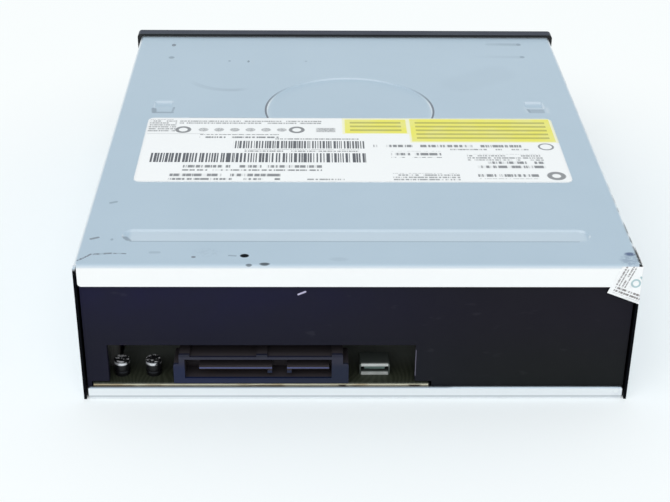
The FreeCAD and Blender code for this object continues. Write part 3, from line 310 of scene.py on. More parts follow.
def disc_surface(radius, rings, spokes):
    """Point (r cos t, r sin t, 0) for r growing as the square of the ring number and t round the circle."""
    r = radius * (np.arange(1, rings + 1) / rings) ** 2
    t = np.linspace(0.0, 2.0 * math.pi, spokes, endpoint=False)
    rr, tt = np.meshgrid(r, t, indexing="ij")
    points = np.column_stack([(rr * np.cos(tt)).ravel(), (rr * np.sin(tt)).ravel(), np.zeros(rings * spokes)])
    points = np.vstack([[0.0, 0.0, 0.0], points])
    quads = 1 + grid_faces(rings, spokes, True)
    steps = np.arange(spokes)
    middle = np.stack([np.zeros(spokes, int), 1 + steps, 1 + (steps + 1) % spokes], axis=-1)
    return points, quads.tolist() + middle.tolist()


def new_piece(name, points, faces, material):
    """A mesh object at the origin with its place in its points."""
    mesh = bpy.data.meshes.new(name)
    mesh.from_pydata(np.asarray(points).tolist(), [], [list(map(int, f)) for f in faces])
    mesh.polygons.foreach_set("use_smooth", np.full(len(mesh.polygons), True))
    mesh.materials.append(material)
    mesh.update()
    piece = bpy.data.objects.new(name, mesh)
    bpy.context.scene.collection.objects.link(piece)
    return piece


def seen_rays(tree):
    """1 for rays that the eye, a mirror or glass sees, 0 for rays that carry light."""
    path = tree.nodes.new("ShaderNodeLightPath")
    return most(tree, *[path.outputs["Is %s Ray" % kind] for kind in ("Camera", "Glossy", "Transmission")])


HORIZON = paint(251, 255, 255)
FLOOR_COLOUR = paint(248, 253, 255)
FLOOR_RADIUS = 9.0
FLOOR_LEVEL = -0.0001
FADE_FROM = 85.0
FADE_TO = 200.0
floor_finish, tree, shader = new_finish("table_top")
cloud = noise(tree, millimetres(tree), 0.004, 2.0)
plug(tree, shader.inputs["Base Color"], blend(tree, cloud, tint(FLOOR_COLOUR, 0.97), FLOOR_COLOUR))
plug(tree, shader.inputs["Roughness"], ramp(tree, cloud, 0.3, 0.7, 0.75, 0.85))
shader.inputs["Specular IOR Level"].default_value = 0.1
x, y, _ = axes(tree, millimetres(tree))
away = vec(tree, "LENGTH", flat(tree, x, y))
fade = times(tree, seen_rays(tree), ramp(tree, away, FADE_FROM, FADE_TO, 0.25, 0.88))
faded = add(tree, "MixShader", fade, shader.outputs[0], add(tree, "Emission", HORIZON, 1.0))
tree.links.new(faded, tree.nodes["Material Output"].inputs["Surface"])
points, faces = disc_surface(FLOOR_RADIUS, 24, 96)
floor = new_piece("table_top", points + [0.0, 0.0, FLOOR_LEVEL], faces, floor_finish)
print("floor of", len(faces), "faces")

# %% Sky and lamp
CEILING = paint(178, 199, 214)
ZENITH = paint(196, 215, 229)
REAR_SKY = paint(206, 222, 234)
DAYLIGHT = paint(250, 253, 255)
AMBIENT = 0.58
world = bpy.data.worlds.new("pale_sky")
world.use_nodes = True
bpy.context.scene.world = world
tree = world.node_tree
tree.nodes.clear()
heading = tree.nodes.new("ShaderNodeTexCoord").outputs["Generated"]
_, rearward, upward = axes(tree, heading)
sky = blend(tree, ramp(tree, upward, 0.06, 0.34), HORIZON, CEILING)
sky = blend(tree, ramp(tree, upward, 0.62, 0.92), sky, ZENITH)
rear_sky = blend(tree, ramp(tree, upward, 0.10, 0.40), HORIZON, REAR_SKY)
sky = blend(tree, ramp(tree, rearward, 0.1, 0.5), sky, rear_sky)
shown = add(tree, "Background", sky, 1.0)
light = add(tree, "Background", DAYLIGHT, AMBIENT)
both = add(tree, "MixShader", seen_rays(tree), light, shown)
output = tree.nodes.new("ShaderNodeOutputWorld")
tree.links.new(both, output.inputs["Surface"])

LAMP_PLACE = Vector((0.3, 0.9, 1.25))
LAMP_SIZE = 2.0
LAMP_POWER = 18.0
lamp_data = bpy.data.lights.new("broad_lamp", "AREA")
lamp_data.shape = "DISK"
lamp_data.size = LAMP_SIZE
lamp_data.energy = LAMP_POWER
lamp_data.color = DAYLIGHT[:3]
lamp = bpy.data.objects.new("broad_lamp", lamp_data)
lamp.location = LAMP_PLACE
lamp.rotation_euler = LAMP_PLACE.to_track_quat("Z", "Y").to_euler()
lamp.visible_glossy = False
bpy.context.scene.collection.objects.link(lamp)
print("sky and lamp set")

# %% [markdown]
# ## Moulded plastics, plated metal and rubber
#
# Most solids need one of a few kinds of finish. Moulded plastic has a spark-eroded grain a tenth of a
# millimetre across and slight clouds in its tone. Sheet and turned metal has rolling or turning marks
# that run one way. Each kind is a function, so every solid of that kind differs only in its numbers.

# %% Kinds of finish
def moulded(name, colour, rough, grain=0.12, depth=0.012, shine=0.4):
    """Plastic: clouds in tone about 6 mm wide, a grain of the given size in mm, and shinier handled areas."""
    material, tree, shader = new_finish(name)
    point = millimetres(tree)
    clouds = noise(tree, point, 0.16)
    plug(tree, shader.inputs["Base Color"], blend(tree, clouds, tint(colour, 0.82), tint(colour, 1.16)))
    handled = noise(tree, point, 0.05, 2.0)
    plug(tree, shader.inputs["Roughness"], ramp(tree, handled, 0.35, 0.7, rough + 0.06, rough - 0.06))
    shader.inputs["Specular IOR Level"].default_value = shine
    bump(tree, shader, noise(tree, point, 1.0 / grain, 2.0), 0.5, depth * MM)
    return material


def plated(name, colour, rough, along=(1.0, 1.0, 1.0), depth=0.004):
    """Metal: fine lines where the stretch is large across and small along, with a duller film in places."""
    material, tree, shader = new_finish(name)
    lines = noise(tree, millimetres(tree, along), 3.0, 4.0)
    film = noise(tree, millimetres(tree), 0.12)
    plug(tree, shader.inputs["Base Color"], blend(tree, film, tint(colour, 0.86), tint(colour, 1.05)))
    worn = calc(tree, "MULTIPLY_ADD", film, 0.12, rough - 0.06)
    plug(tree, shader.inputs["Roughness"], calc(tree, "MULTIPLY_ADD", lines, 0.10, worn))
    shader.inputs["Metallic"].default_value = 1.0
    bump(tree, shader, lines, 0.35, depth * MM)
    return material


def rubbery(name, colour):
    """Rubber: matt, with a dusty bloom and a fine moulded skin."""
    material, tree, shader = new_finish(name)
    point = millimetres(tree)
    bloom = ramp(tree, noise(tree, point, 0.5, 4.0), 0.45, 0.75)
    plug(tree, shader.inputs["Base Color"], blend(tree, bloom, colour, tint(colour, 2.2)))
    plug(tree, shader.inputs["Roughness"], ramp(tree, bloom, 0.0, 1.0, 0.7, 0.9))
    shader.inputs["Specular IOR Level"].default_value = 0.2
    bump(tree, shader, noise(tree, point, 6.0, 2.0), 0.4, 0.01 * MM)
    return material


def clear(name, colour, rough):
    """Glass or clear plastic: see-through, with faint dust and a slight ripple."""
    material, tree, shader = new_finish(name)
    point = millimetres(tree)
    dust_and_light = ramp(tree, noise(tree, point, 2.0, 4.0), 0.55, 0.8)
    plug(tree, shader.inputs["Base Color"], blend(tree, dust_and_light, colour, tint(colour, 0.8)))
    plug(tree, shader.inputs["Roughness"], ramp(tree, dust_and_light, 0.0, 1.0, rough, rough + 0.15))
    shader.inputs["Transmission Weight"].default_value = 0.85
    shader.inputs["IOR"].default_value = 1.49
    bump(tree, shader, noise(tree, point, 0.8, 1.0), 0.2, 0.01 * MM)
    return material


SPIN_Z = (4.0, 4.0, 0.2)
ROLLED_X = (0.05, 6.0, 6.0)
ROLLED_Y = (6.0, 0.05, 6.0)
finish_of_slot = {
    "tray_plastic": moulded("grey_black_tray", paint(52, 53, 57), 0.5, 0.2, 0.018),
    "chip_plastic": moulded("chip_epoxy", paint(34, 34, 36), 0.55, 0.08, 0.006, 0.3),
    "core_plastic": moulded("socket_core", paint(104, 124, 118), 0.45, 0.1, 0.008),
    "table_plastic": moulded("black_acetal", paint(40, 40, 42), 0.42, 0.15, 0.01),
    "gear_plastic": moulded("natural_acetal", paint(226, 226, 218), 0.38, 0.12, 0.006, 0.5),
    "contact_gold": plated("gold_contact", paint(226, 184, 104), 0.28, ROLLED_Y, 0.002),
    "motor_steel": plated("motor_can", paint(196, 198, 200), 0.34, SPIN_Z),
    "traverse_steel": plated("stamped_steel", paint(196, 199, 204), 0.4, ROLLED_X),
    "screw_steel": plated("plated_screw", paint(178, 180, 184), 0.35, SPIN_Z),
    "rod_chrome": plated("ground_rod", paint(226, 228, 230), 0.14, (6.0, 0.3, 6.0), 0.001),
    "bearing_brass": plated("sintered_bush", paint(206, 170, 104), 0.45),
    "coil_copper": plated("enamelled_copper", paint(196, 112, 66), 0.38, (0.4, 0.4, 8.0), 0.03),
    "pickup_metal": plated("die_casting", paint(172, 174, 176), 0.5, (1.0, 1.0, 1.0), 0.01),
    "belt_rubber": rubbery("belt_rubber", paint(30, 30, 31)),
    "lens_glass": clear("lens_glass", paint(214, 226, 240), 0.02),
    "lamp_plastic": clear("lamp_plastic", paint(196, 222, 200), 0.12),
}
print(len(finish_of_slot), "plain finishes")

# %% [markdown]
# ## The cover's steel
#
# The cover is thin zinc-plated sheet. Seen closely it isn't plain: rolling lines, a film of handling,
# small dents pressed near the bezel, a soft crescent dent, specks, dark spots by the rear fold and
# scuffs at the rear corners. Each mark is a mask at its place in millimetres. Marks that are dents go
# to the bump, and the dents are also darkened in the colour as painted shade. Marks that are dirt go to
# the colour and the roughness. Painted shade also lies as dark lines at the foot of the pressed steps,
# on the sheared edges and inside the side walls. Painted highlights lie on some walls of the pressed
# shapes, and the rear flange is painted brighter than the rest. The bottom plate is the same sheet and
# shares the finish, so the painted shade on its rear lip is here too.

# %% Small dents and specks
STEEL = paint(248, 251, 253)
SHADE_AND_GRIME = paint(58, 66, 84)
SOOT_AND_SHADE = paint(14, 15, 20)
SIDE, REAR, TOP = (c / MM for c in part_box("top_cover")[1])
cover_finish, tree, shader = new_finish("zinc_sheet")
point = millimetres(tree)
x, y, z = axes(tree, point)
plan = flat(tree, x, y)
on_top = ramp(tree, z, TOP - 1.1, TOP - 0.8)
rolled = noise(tree, millimetres(tree, (0.04, 2.2, 2.2)), 1.0, 4.0)
film = noise(tree, point, 0.035, 4.0)
fine = noise(tree, point, 1.1, 3.0)
# The pips and the crescent are dents, and below they are also darkened in the colour as painted shade.
pips = weighted(tree, (1.0, spot(tree, x, y, 60.5, -70.9, 0.75, 1.15)),
                (0.55, spot(tree, x, y, 60.3, -59.0, 1.0, 1.1, 0.7)),
                (0.55, spot(tree, x, y, -61.1, -72.5, 0.9, 1.1, 0.7)),
                (0.5, spot(tree, x, y, -60.9, -60.5, 0.9, 1.0, 0.7)))
drags = weighted(tree, (1.0, stroke(tree, plan, (-50.5, -72.7), (-61.0, -72.5), 1.6)),
                 (0.4, stroke(tree, plan, (-26.0, -60.9), (-60.5, -60.5), 1.6)))
drags = times(tree, drags, ramp(tree, x, -40.0, -62.0))
# The speck at (33.7, -55.6) is the painted shaded side of a small dimple, and speck_lit is its painted
# highlight.
specks = weighted(tree, (0.35, spot(tree, x, y, 40.2, -56.0, 0.5, 0.6, 0.6)),
                  (0.6, spot(tree, x, y, 33.7, -55.6, 0.4, 0.9)),
                  (0.25, spot(tree, x, y, 14.0, -56.0, 0.5, 0.5, 0.6)),
                  (0.35, spot(tree, x, y, 64.5, 71.1, 0.4, 0.6, 0.6)),
                  (0.9, spot(tree, x, y, 42.4, 80.4, 0.6, 0.45)))
crescent = times(tree, ring(tree, plan, (38.5, -46.2), 15.8, 2.4), ramp(tree, y, -41.0, -34.0),
                 between(tree, x, 34.5, 52.0, 2.5), ramp(tree, x, 52.0, 36.0, 0.5, 1.0))
hand_mark = stroke(tree, plan, (-37.5, -36.0), (-50.0, -45.0), 9.0)
print("dents and specks placed")

# %% Scratches and dirt at the rear
broken = ramp(tree, noise(tree, point, 0.9, 2.0), 0.38, 0.55, 0.25, 1.0)
scratch = most(tree, stroke(tree, plan, (71.8, 82.2), (69.0, 79.1), 0.45),
               stroke(tree, plan, (69.0, 79.1), (63.7, 78.5), 0.5),
               stroke(tree, plan, (63.7, 78.5), (60.0, 78.7), 0.3))
dashes = weighted(tree, (1.0, stroke(tree, plan, (70.0, 70.8), (68.3, 70.0), 0.6)),
                  (0.6, stroke(tree, plan, (33.3, 79.6), (31.6, 79.8), 0.4)),
                  (0.5, stroke(tree, plan, (67.4, 50.1), (66.0, 49.5), 0.7)))
smears = weighted(tree, (1.0, stroke(tree, plan, (53.6, 78.0), (51.6, 78.0), 0.8)),
                  (0.4, times(tree, spot(tree, x, y, 39.0, 78.0, 3.4, 2.2, 0.9), ramp(tree, fine, 0.4, 0.6))),
                  (0.5, spot(tree, x, y, 5.0, 81.5, 2.2, 1.0, 0.9)))
soot_spots = weighted(tree, (1.0, spot(tree, x, y, 29.3, 79.7, 1.15, 0.95)),
                      (0.75, spot(tree, x, y, 24.0, 83.9, 1.3, 0.6, 0.6)),
                      (0.6, spot(tree, x, y, 28.0, 84.3, 0.8, 0.4, 0.6)))
blot = times(tree, spot(tree, x, y, -70.7, 78.7, 1.4, 0.95, 0.8), ramp(tree, fine, 0.3, 0.5, 0.3, 1.0))
haze = times(tree, spot(tree, x, y, -70.2, 82.0, 2.4, 2.8, 0.8), ramp(tree, fine, 0.36, 0.56))
# Along the right fold the sheet is darker in broken patches, more towards the rear.
fold_right = times(tree, ramp(tree, x, 1.2 - SIDE, 0.4 - SIDE), ramp(tree, z, TOP - 1.9, TOP - 0.7))
worn = ramp(tree, noise(tree, millimetres(tree, (1.0, 0.3, 1.0)), 0.7, 3.0), 0.44, 0.58)
dark_bits = times(tree, ramp(tree, fine, 0.44, 0.5), ramp(tree, y, 75.0, 78.0))
edge_darkening = most(tree, times(tree, worn, ramp(tree, y, 30.0, 80.0, 0.1, 0.75)), dark_bits)
fold_darkening = times(tree, fold_right, edge_darkening)
print("rear marks placed")

# %% Edges of the pressed shapes
# Painted shade: the *_foot masks darken the foot of the pressed steps, a dimple's floor and the sheet by the
# label's front edge. Painted highlights: the *_lit masks pale the walls that face the light.
CIRCLE = (0.0, -14.8)
aside = calc(tree, "ABSOLUTE", x)
arcs = times(tree, ramp(tree, aside, 13.0, 24.5), ramp(tree, y, -37.0, -17.0))
circle_foot = times(tree, ring(tree, plan, CIRCLE, 26.6, 0.65), arcs)
circle_lit = times(tree, ring(tree, plan, CIRCLE, 25.5, 0.9), arcs)
groove_foot = weighted(tree, (0.8, stroke(tree, plan, (59.5, 71.9), (-58.5, 71.9), 0.5)),
                       (1.0, stroke(tree, plan, (60.2, 71.0), (61.3, 69.4), 1.1)))
groove_lit = patch(tree, x, y, -61.0, 60.0, 65.8, 71.2, 0.5)
dimple_foot = weighted(tree, (1.0, stroke(tree, plan, (62.0, -15.0), (61.6, -12.2), 1.1)),
                       (0.8, stroke(tree, plan, (61.6, -12.0), (56.0, -12.0), 0.8)),
                       (0.7, stroke(tree, plan, (56.0, -12.2), (55.7, -16.0), 0.5)),
                       (0.6, patch(tree, x, y, -61.9, -57.0, -16.0, -12.3, 0.4)),
                       (0.9, stroke(tree, plan, (-56.7, -15.8), (-57.2, -13.0), 0.6)))
dimple_lit = weighted(tree, (0.5, stroke(tree, plan, (61.3, -17.2), (56.8, -17.2), 0.9)),
                      (1.0, stroke(tree, plan, (-57.0, -17.3), (-62.0, -17.3), 0.9)),
                      (0.8, stroke(tree, plan, (-55.9, -17.0), (-56.3, -12.6), 0.6)),
                      (1.0, stroke(tree, plan, (-63.0, -16.4), (-62.9, -12.6), 0.7)))
label_foot = stroke(tree, plan, (50.0, -7.9), (3.0, -7.9), 0.5)
speck_lit = spot(tree, x, y, 32.3, -55.6, 0.3, 0.9)
print("pressed shapes edged")

# %% Sheared edges, flange and lip
LIP_TOP = 3.7
# Painted shade: the rear edges of the side walls and the inner faces of the side walls near the rear are
# painted near black, as the gap behind them is in shade.
sheared_edge_shade = times(tree, ramp(tree, aside, SIDE - 0.9, SIDE - 0.7), ramp(tree, y, REAR - 0.4, REAR - 0.2),
                ramp(tree, z, TOP - 1.8, TOP - 0.7, 1.0, 0.0))
inner_side_shade = times(tree, between(tree, aside, SIDE - 0.95, SIDE - 0.5, 0.1),
                   ramp(tree, y, REAR - 11.0, REAR - 7.0), ramp(tree, z, TOP - 1.8, TOP - 2.8))
# Painted light: the rear flange is given a whiter base without the film, so it renders brighter than the rest
# of the sheet.
lit_flange = times(tree, ramp(tree, y, REAR - 0.6, REAR - 0.4), ramp(tree, z, TOP - 11.3, TOP - 10.3),
               ramp(tree, aside, SIDE - 0.9, SIDE - 1.1))
lip_rim = times(tree, ramp(tree, z, LIP_TOP - 0.35, LIP_TOP - 0.15),
                ramp(tree, z, LIP_TOP + 2.3, LIP_TOP + 1.3), ramp(tree, x, -27.0, -24.0))
lip_shade = weighted(tree, (0.34, between(tree, z, 0.6, 1.2, 0.2)), (0.45, lip_rim))
lip_shade = times(tree, lip_shade, ramp(tree, y, REAR - 0.8, REAR - 0.7),
                  ramp(tree, aside, SIDE - 0.8, SIDE - 1.1))
print("rear edges placed")

# %% Zinc sheet
marks_and_shade = weighted(tree, (0.62, pips), (0.20, drags), (0.8, specks), (0.12, crescent), (0.03, hand_mark),
                 (0.8, times(tree, scratch, broken)), (0.62, dashes), (0.16, smears),
                 (0.78, circle_foot), (0.38, groove_foot), (0.36, dimple_foot), (0.16, label_foot))
lit = weighted(tree, (0.10, circle_lit), (0.22, groove_lit), (0.22, dimple_lit), (0.35, speck_lit))
marks_and_shade = times(tree, on_top, marks_and_shade)
lit = times(tree, on_top, lit)
# The soot spots are dirt; the sheared edges and inner sides join them as painted shade.
soot_and_shade = most(tree, times(tree, on_top, soot_spots), fold_darkening, sheared_edge_shade, inner_side_shade)
# The film dulls the sheet except on the flange, which is painted white as painted light.
tone = blend(tree, most(tree, film, lit_flange), tint(STEEL, 0.955), STEEL)
tone = blend(tree, lit_flange, tone, paint(255, 255, 255))
tone = blend(tree, weighted(tree, (0.3, haze), (0.8, blot)), tone, paint(84, 96, 140))
# Dirt and painted shade both take the dark colour here.
tone = blend(tree, most(tree, marks_and_shade, lip_shade), tone, SHADE_AND_GRIME)
plug(tree, shader.inputs["Base Color"], blend(tree, soot_and_shade, tone, SOOT_AND_SHADE))
sheen = calc(tree, "MULTIPLY_ADD", film, 0.14, 0.24)
sheen = calc(tree, "MULTIPLY_ADD", rolled, 0.08, sheen)
plug(tree, shader.inputs["Roughness"], calc(tree, "MULTIPLY_ADD", most(tree, marks_and_shade, soot_and_shade), 0.3, sheen))
# Where marks and painted shade are strong the sheet is less metallic and takes the dark colour; where painted
# highlights lie, its white base shows as painted light.
dull_and_lit = most(tree, ramp(tree, marks_and_shade, 0.3, 1.0), lit)
plug(tree, shader.inputs["Metallic"], calc(tree, "MULTIPLY_ADD", dull_and_lit, -0.87, 0.97))
dents = calc(tree, "MULTIPLY_ADD", pips, -6.0, times(tree, crescent, -1.2))
dents = calc(tree, "MULTIPLY_ADD", hand_mark, -1.5, dents)
relief = calc(tree, "MULTIPLY_ADD", rolled, 0.12, times(tree, fine, 0.10))
relief = calc(tree, "ADD", relief, times(tree, on_top, dents))
bump(tree, shader, relief, 0.5, 0.02 * MM)
finish_of_slot["cover_steel"] = cover_finish
print("cover finish of", len(tree.nodes), "nodes")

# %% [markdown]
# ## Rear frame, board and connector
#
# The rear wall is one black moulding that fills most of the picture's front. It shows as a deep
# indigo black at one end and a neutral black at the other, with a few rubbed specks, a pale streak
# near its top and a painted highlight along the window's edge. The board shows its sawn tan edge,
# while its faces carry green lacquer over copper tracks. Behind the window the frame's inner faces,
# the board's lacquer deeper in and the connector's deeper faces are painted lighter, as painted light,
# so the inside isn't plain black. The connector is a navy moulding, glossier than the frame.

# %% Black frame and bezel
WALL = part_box("main_chassis")[1].y / MM
frame_finish, tree, shader = new_finish("black_frame")
point = millimetres(tree)
x, y, z = axes(tree, point)
clouds = noise(tree, point, 0.06)
neutral = blend(tree, ramp(tree, z, 6.0, 28.0), paint(20, 22, 23), paint(22, 20, 29))
tone = blend(tree, ramp(tree, x, -55.0, 40.0), neutral, paint(22, 22, 36))
indigo = times(tree, ramp(tree, z, 16.0, 34.0), ramp(tree, x, -40.0, 50.0), clouds)
tone = blend(tree, indigo, tone, paint(26, 24, 56))
# Painted light: the frame's inner faces are a lighter olive grey, and lighter still in a band deeper in
# behind the window, so the inside isn't as black as its shade.
inner = ramp(tree, y, WALL - 2.2, WALL - 2.5)
tone = blend(tree, inner, tone, paint(40, 40, 36))
lit_inside_band = times(tree, inner, ramp(tree, y, WALL - 28.1, WALL - 18.1), ramp(tree, z, 18.0, 14.0))
tone = blend(tree, lit_inside_band, tone, paint(116, 116, 113))
rear = flat(tree, x, z)
# A pale streak near the top of the rear wall, and a painted highlight along the window's right edge.
pale = weighted(tree, (1.0, stroke(tree, rear, (15.4, 32.3), (13.6, 33.1), 0.34)),
                (0.26, stroke(tree, rear, (-15.75, 7.0), (-15.75, 15.0), 0.14)))
pale = times(tree, pale, ramp(tree, y, WALL - 1.8, WALL - 0.5))
rubbed = ramp(tree, noise(tree, millimetres(tree, (0.4, 1.0, 1.0)), 0.3, 2.0), 0.66, 0.76)
tone = blend(tree, times(tree, rubbed, 0.012), tone, paint(200, 200, 210))
plug(tree, shader.inputs["Base Color"], blend(tree, pale, tone, paint(190, 184, 208)))
plug(tree, shader.inputs["Roughness"], ramp(tree, clouds, 0.3, 0.7, 0.52, 0.62))
shader.inputs["Specular IOR Level"].default_value = 0.12
bump(tree, shader, noise(tree, point, 7.0, 2.0), 0.4, 0.012 * MM)
finish_of_slot["chassis_plastic"] = frame_finish

bezel_finish, tree, shader = new_finish("black_bezel")
point = millimetres(tree)
_, y, _ = axes(tree, point)
clouds = noise(tree, millimetres(tree, (0.3, 1.0, 1.0)), 0.12)
tone = blend(tree, clouds, paint(44, 43, 51), paint(54, 51, 66))
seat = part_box("top_cover")[0].y / MM
# Painted shade: the bezel is near black where it meets the cover's front edge.
tone = blend(tree, ramp(tree, y, seat - 0.5, seat - 0.15), tone, paint(9, 9, 12))
plug(tree, shader.inputs["Base Color"], tone)
plug(tree, shader.inputs["Roughness"], ramp(tree, clouds, 0.3, 0.7, 0.44, 0.54))
shader.inputs["Specular IOR Level"].default_value = 0.45
bump(tree, shader, noise(tree, point, 4.5, 2.0), 0.5, 0.02 * MM)
finish_of_slot["bezel_plastic"] = bezel_finish
print("frame and bezel finished")

# %% Circuit board
board_finish, tree, shader = new_finish("lacquered_board")
point = millimetres(tree)
x, y, z = axes(tree, point)
BOARD_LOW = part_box("main_board")[0].z / MM
_, BOARD_REAR, BOARD_HIGH = (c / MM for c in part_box("main_board")[1])
edge = between(tree, z, BOARD_LOW + 0.06, BOARD_HIGH - 0.48, 0.06)
drift = times(tree, noise(tree, point, 0.08, 1.0), 9.0)
tracks = calc(tree, "FRACT", times(tree, calc(tree, "ADD", x, drift), 0.8))
copper = ramp(tree, tracks, 0.45, 0.55)
lacquer = blend(tree, copper, paint(40, 43, 34), paint(50, 53, 43))
# Painted light: deeper in behind the window the lacquer turns pale grey in a band, so the inside isn't plain
# black.
deeper = calc(tree, "POWER", ramp(tree, y, BOARD_REAR - 3.7, BOARD_REAR - 22.2), 1.5)
dust_and_light = times(tree, deeper, ramp(tree, y, BOARD_REAR - 30.2, BOARD_REAR - 24.2))
lacquer = blend(tree, dust_and_light, lacquer, paint(150, 156, 150))
weave = noise(tree, millimetres(tree, (0.3, 0.3, 3.0)), 1.4, 3.0)
sawn = blend(tree, weave, paint(178, 172, 148), paint(216, 211, 190))
burnt = ramp(tree, noise(tree, millimetres(tree, (0.25, 1.0, 1.0)), 0.35, 2.0), 0.45, 0.62)
sawn = blend(tree, times(tree, burnt, 0.55), sawn, paint(140, 112, 66))
# The sawn edge is darker along its foot and in two short spans along its top.
foot = ramp(tree, z, BOARD_LOW + 0.75, BOARD_LOW + 0.55)
dark_spans = most(tree, between(tree, x, 2.6, 4.8, 0.4), between(tree, x, -17.4, -14.0, 0.6))
dark_spans = times(tree, dark_spans, ramp(tree, z, BOARD_HIGH - 0.7, BOARD_HIGH - 0.85))
under = most(tree, times(tree, foot, ramp(tree, burnt, 0.0, 1.0, 0.75, 1.0)), dark_spans)
sawn = blend(tree, under, sawn, paint(52, 42, 30))
plug(tree, shader.inputs["Base Color"], blend(tree, edge, lacquer, sawn))
plug(tree, shader.inputs["Roughness"], ramp(tree, edge, 0.0, 1.0, 0.4, 0.75))
shader.inputs["Specular IOR Level"].default_value = 0.25
bump(tree, shader, most(tree, copper, weave), 0.3, 0.03 * MM)
finish_of_slot["board_laminate"] = board_finish
print("board finish made")

# %% Connector, cans and service socket
connector_finish, tree, shader = new_finish("navy_connector")
point = millimetres(tree)
x, y, z = axes(tree, point)
clouds = noise(tree, point, 0.25)
TONGUES_X = (6.9, 42.5)
TONGUES_Z = (8.6, 10.3)
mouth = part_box("sata_housing")[1].y / MM
# Painted light: faces more than 0.8 mm behind the mouth, such as the housing's top and the inside of the
# mouth, are painted a lighter grey than their shade.
facing = ramp(tree, y, mouth - 0.8, mouth - 0.62)
navy = blend(tree, ramp(tree, x, 8.0, 42.0), paint(17, 27, 46), paint(19, 31, 62))
bar = blend(tree, ramp(tree, z, 13.0, 13.3), paint(48, 48, 57), paint(27, 28, 36))
rim = blend(tree, ramp(tree, z, 9.6, 12.0), navy, bar)
rim = blend(tree, times(tree, clouds, 0.7), rim, paint(24, 26, 52))
tongues = times(tree, between(tree, z, *TONGUES_Z, 0.05), between(tree, x, *TONGUES_X, 0.05))
# Painted highlight: a pale line along the tongues' top edge, above their dark contacts.
tongue_highlight = between(tree, z, 9.2, 9.6, 0.06)
tongue_tone = blend(tree, tongue_highlight, paint(33, 25, 28), paint(78, 84, 122))
rim = blend(tree, tongues, rim, tongue_tone)
plug(tree, shader.inputs["Base Color"], blend(tree, facing, paint(56, 52, 55), rim))
plug(tree, shader.inputs["Roughness"], ramp(tree, clouds, 0.3, 0.7, 0.34, 0.46))
shader.inputs["Specular IOR Level"].default_value = 0.25
bump(tree, shader, noise(tree, point, 5.0, 2.0), 0.3, 0.008 * MM)
finish_of_slot["connector_plastic"] = connector_finish

can_finish, tree, shader = new_finish("inked_can")
point = millimetres(tree)
_, _, z = axes(tree, point)
can_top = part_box("board_cans")[1].z / MM
ink = ramp(tree, z, can_top - 0.12, can_top - 0.05)
print_marks = ramp(tree, noise(tree, point, 1.1, 2.0), 0.5, 0.58)
inked = blend(tree, print_marks, paint(20, 20, 22), paint(214, 214, 216))
# Painted light and shade: the can's side is painted bright in a broken band just below the rim and dark
# elsewhere.
gaps = ramp(tree, noise(tree, point, 0.5, 1.0), 0.38, 0.5)
lit_band = times(tree, between(tree, z, can_top - 1.15, can_top - 0.4), gaps)
shaded_sleeve = blend(tree, lit_band, paint(26, 26, 28), paint(226, 227, 230))
plug(tree, shader.inputs["Base Color"], blend(tree, ink, shaded_sleeve, inked))
plug(tree, shader.inputs["Metallic"], ramp(tree, ink, 0.0, 1.0, 0.55, 0.0))
turned = noise(tree, millimetres(tree, SPIN_Z), 2.0)
plug(tree, shader.inputs["Roughness"], ramp(tree, turned, 0.3, 0.7, 0.28, 0.42))
bump(tree, shader, print_marks, 0.2, 0.01 * MM)
finish_of_slot["can_aluminium"] = can_finish

shell_finish, tree, shader = new_finish("tinned_shell")
x, y, _ = axes(tree, millimetres(tree))
low, high = (np.array(c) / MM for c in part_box("service_socket"))
within = between(tree, x, float(low[0]) + 0.4, float(high[0]) - 0.4, 0.05)
# Painted light and shade: the shell is bright tin near its mouth and a darker grey deeper in.
lit = times(tree, ramp(tree, y, float(high[1]) - 0.7, float(high[1]) - 0.1), within)
tarnish = noise(tree, millimetres(tree, (0.4, 1.0, 1.0)), 0.9, 3.0)
deep = blend(tree, tarnish, paint(84, 90, 86), paint(104, 112, 107))
tinned = blend(tree, tarnish, paint(176, 180, 176), paint(228, 230, 226))
plug(tree, shader.inputs["Base Color"], blend(tree, lit, deep, tinned))
plug(tree, shader.inputs["Metallic"], ramp(tree, lit, 0.0, 1.0, 0.6, 0.35))
plug(tree, shader.inputs["Roughness"], ramp(tree, tarnish, 0.3, 0.7, 0.32, 0.5))
bump(tree, shader, tarnish, 0.25, 0.01 * MM)
finish_of_slot["shell_steel"] = shell_finish
print("connector, cans and socket finished")

# %% [markdown]
# ## The paper label
#
# A printed paper label lies on the cover. Its print here is plain: two striped yellow panels, two
# strips of bars that stand for nothing, rings, dots, and dashes in place of words. All of it is masks
# on the label's own plane, so the print stays sharp and moves with the drive.

# %% Print masks
def small_print(tree, x, y, pitch, height, letters):
    """Rows of plain dashes over a sheet: a row every pitch, broken into runs and strokes by two noises."""
    row = calc(tree, "DIVIDE", y, pitch)
    inside = between(tree, calc(tree, "FRACT", row), 0.5 - height / 2, 0.5 + height / 2, 0.08)
    along = flat(tree, x, times(tree, calc(tree, "FLOOR", row), 7.3))
    words = ramp(tree, noise(tree, along, 0.28, 1.0), 0.36, 0.40)
    strokes = ramp(tree, noise(tree, along, letters, 1.0), 0.40, 0.52, 0.15, 1.0)
    return times(tree, inside, words, strokes)


def areas(tree, x, y, *spans):
    """1 inside any of several rectangles (x0, x1, y0, y1)."""
    return most(tree, *[patch(tree, x, y, *span, 0.1) for span in spans])


def bars(tree, x, y, pitch, span):
    """Upright bars at an uneven pitch, a saw wave along X whose phase and threshold wander."""
    along = flat(tree, x, span[2] * 3.1)
    steps = calc(tree, "DIVIDE", x, pitch)
    wander = calc(tree, "MULTIPLY_ADD", noise(tree, along, 0.55, 2.0), 2.4, steps)
    level = ramp(tree, noise(tree, along, 0.8, 1.0), 0.3, 0.7, 0.14, 0.56, False)
    ink = ramp(tree, calc(tree, "SUBTRACT", calc(tree, "FRACT", wander), level), 0.0, 0.16)
    return times(tree, ink, patch(tree, x, y, *span, 0.12))


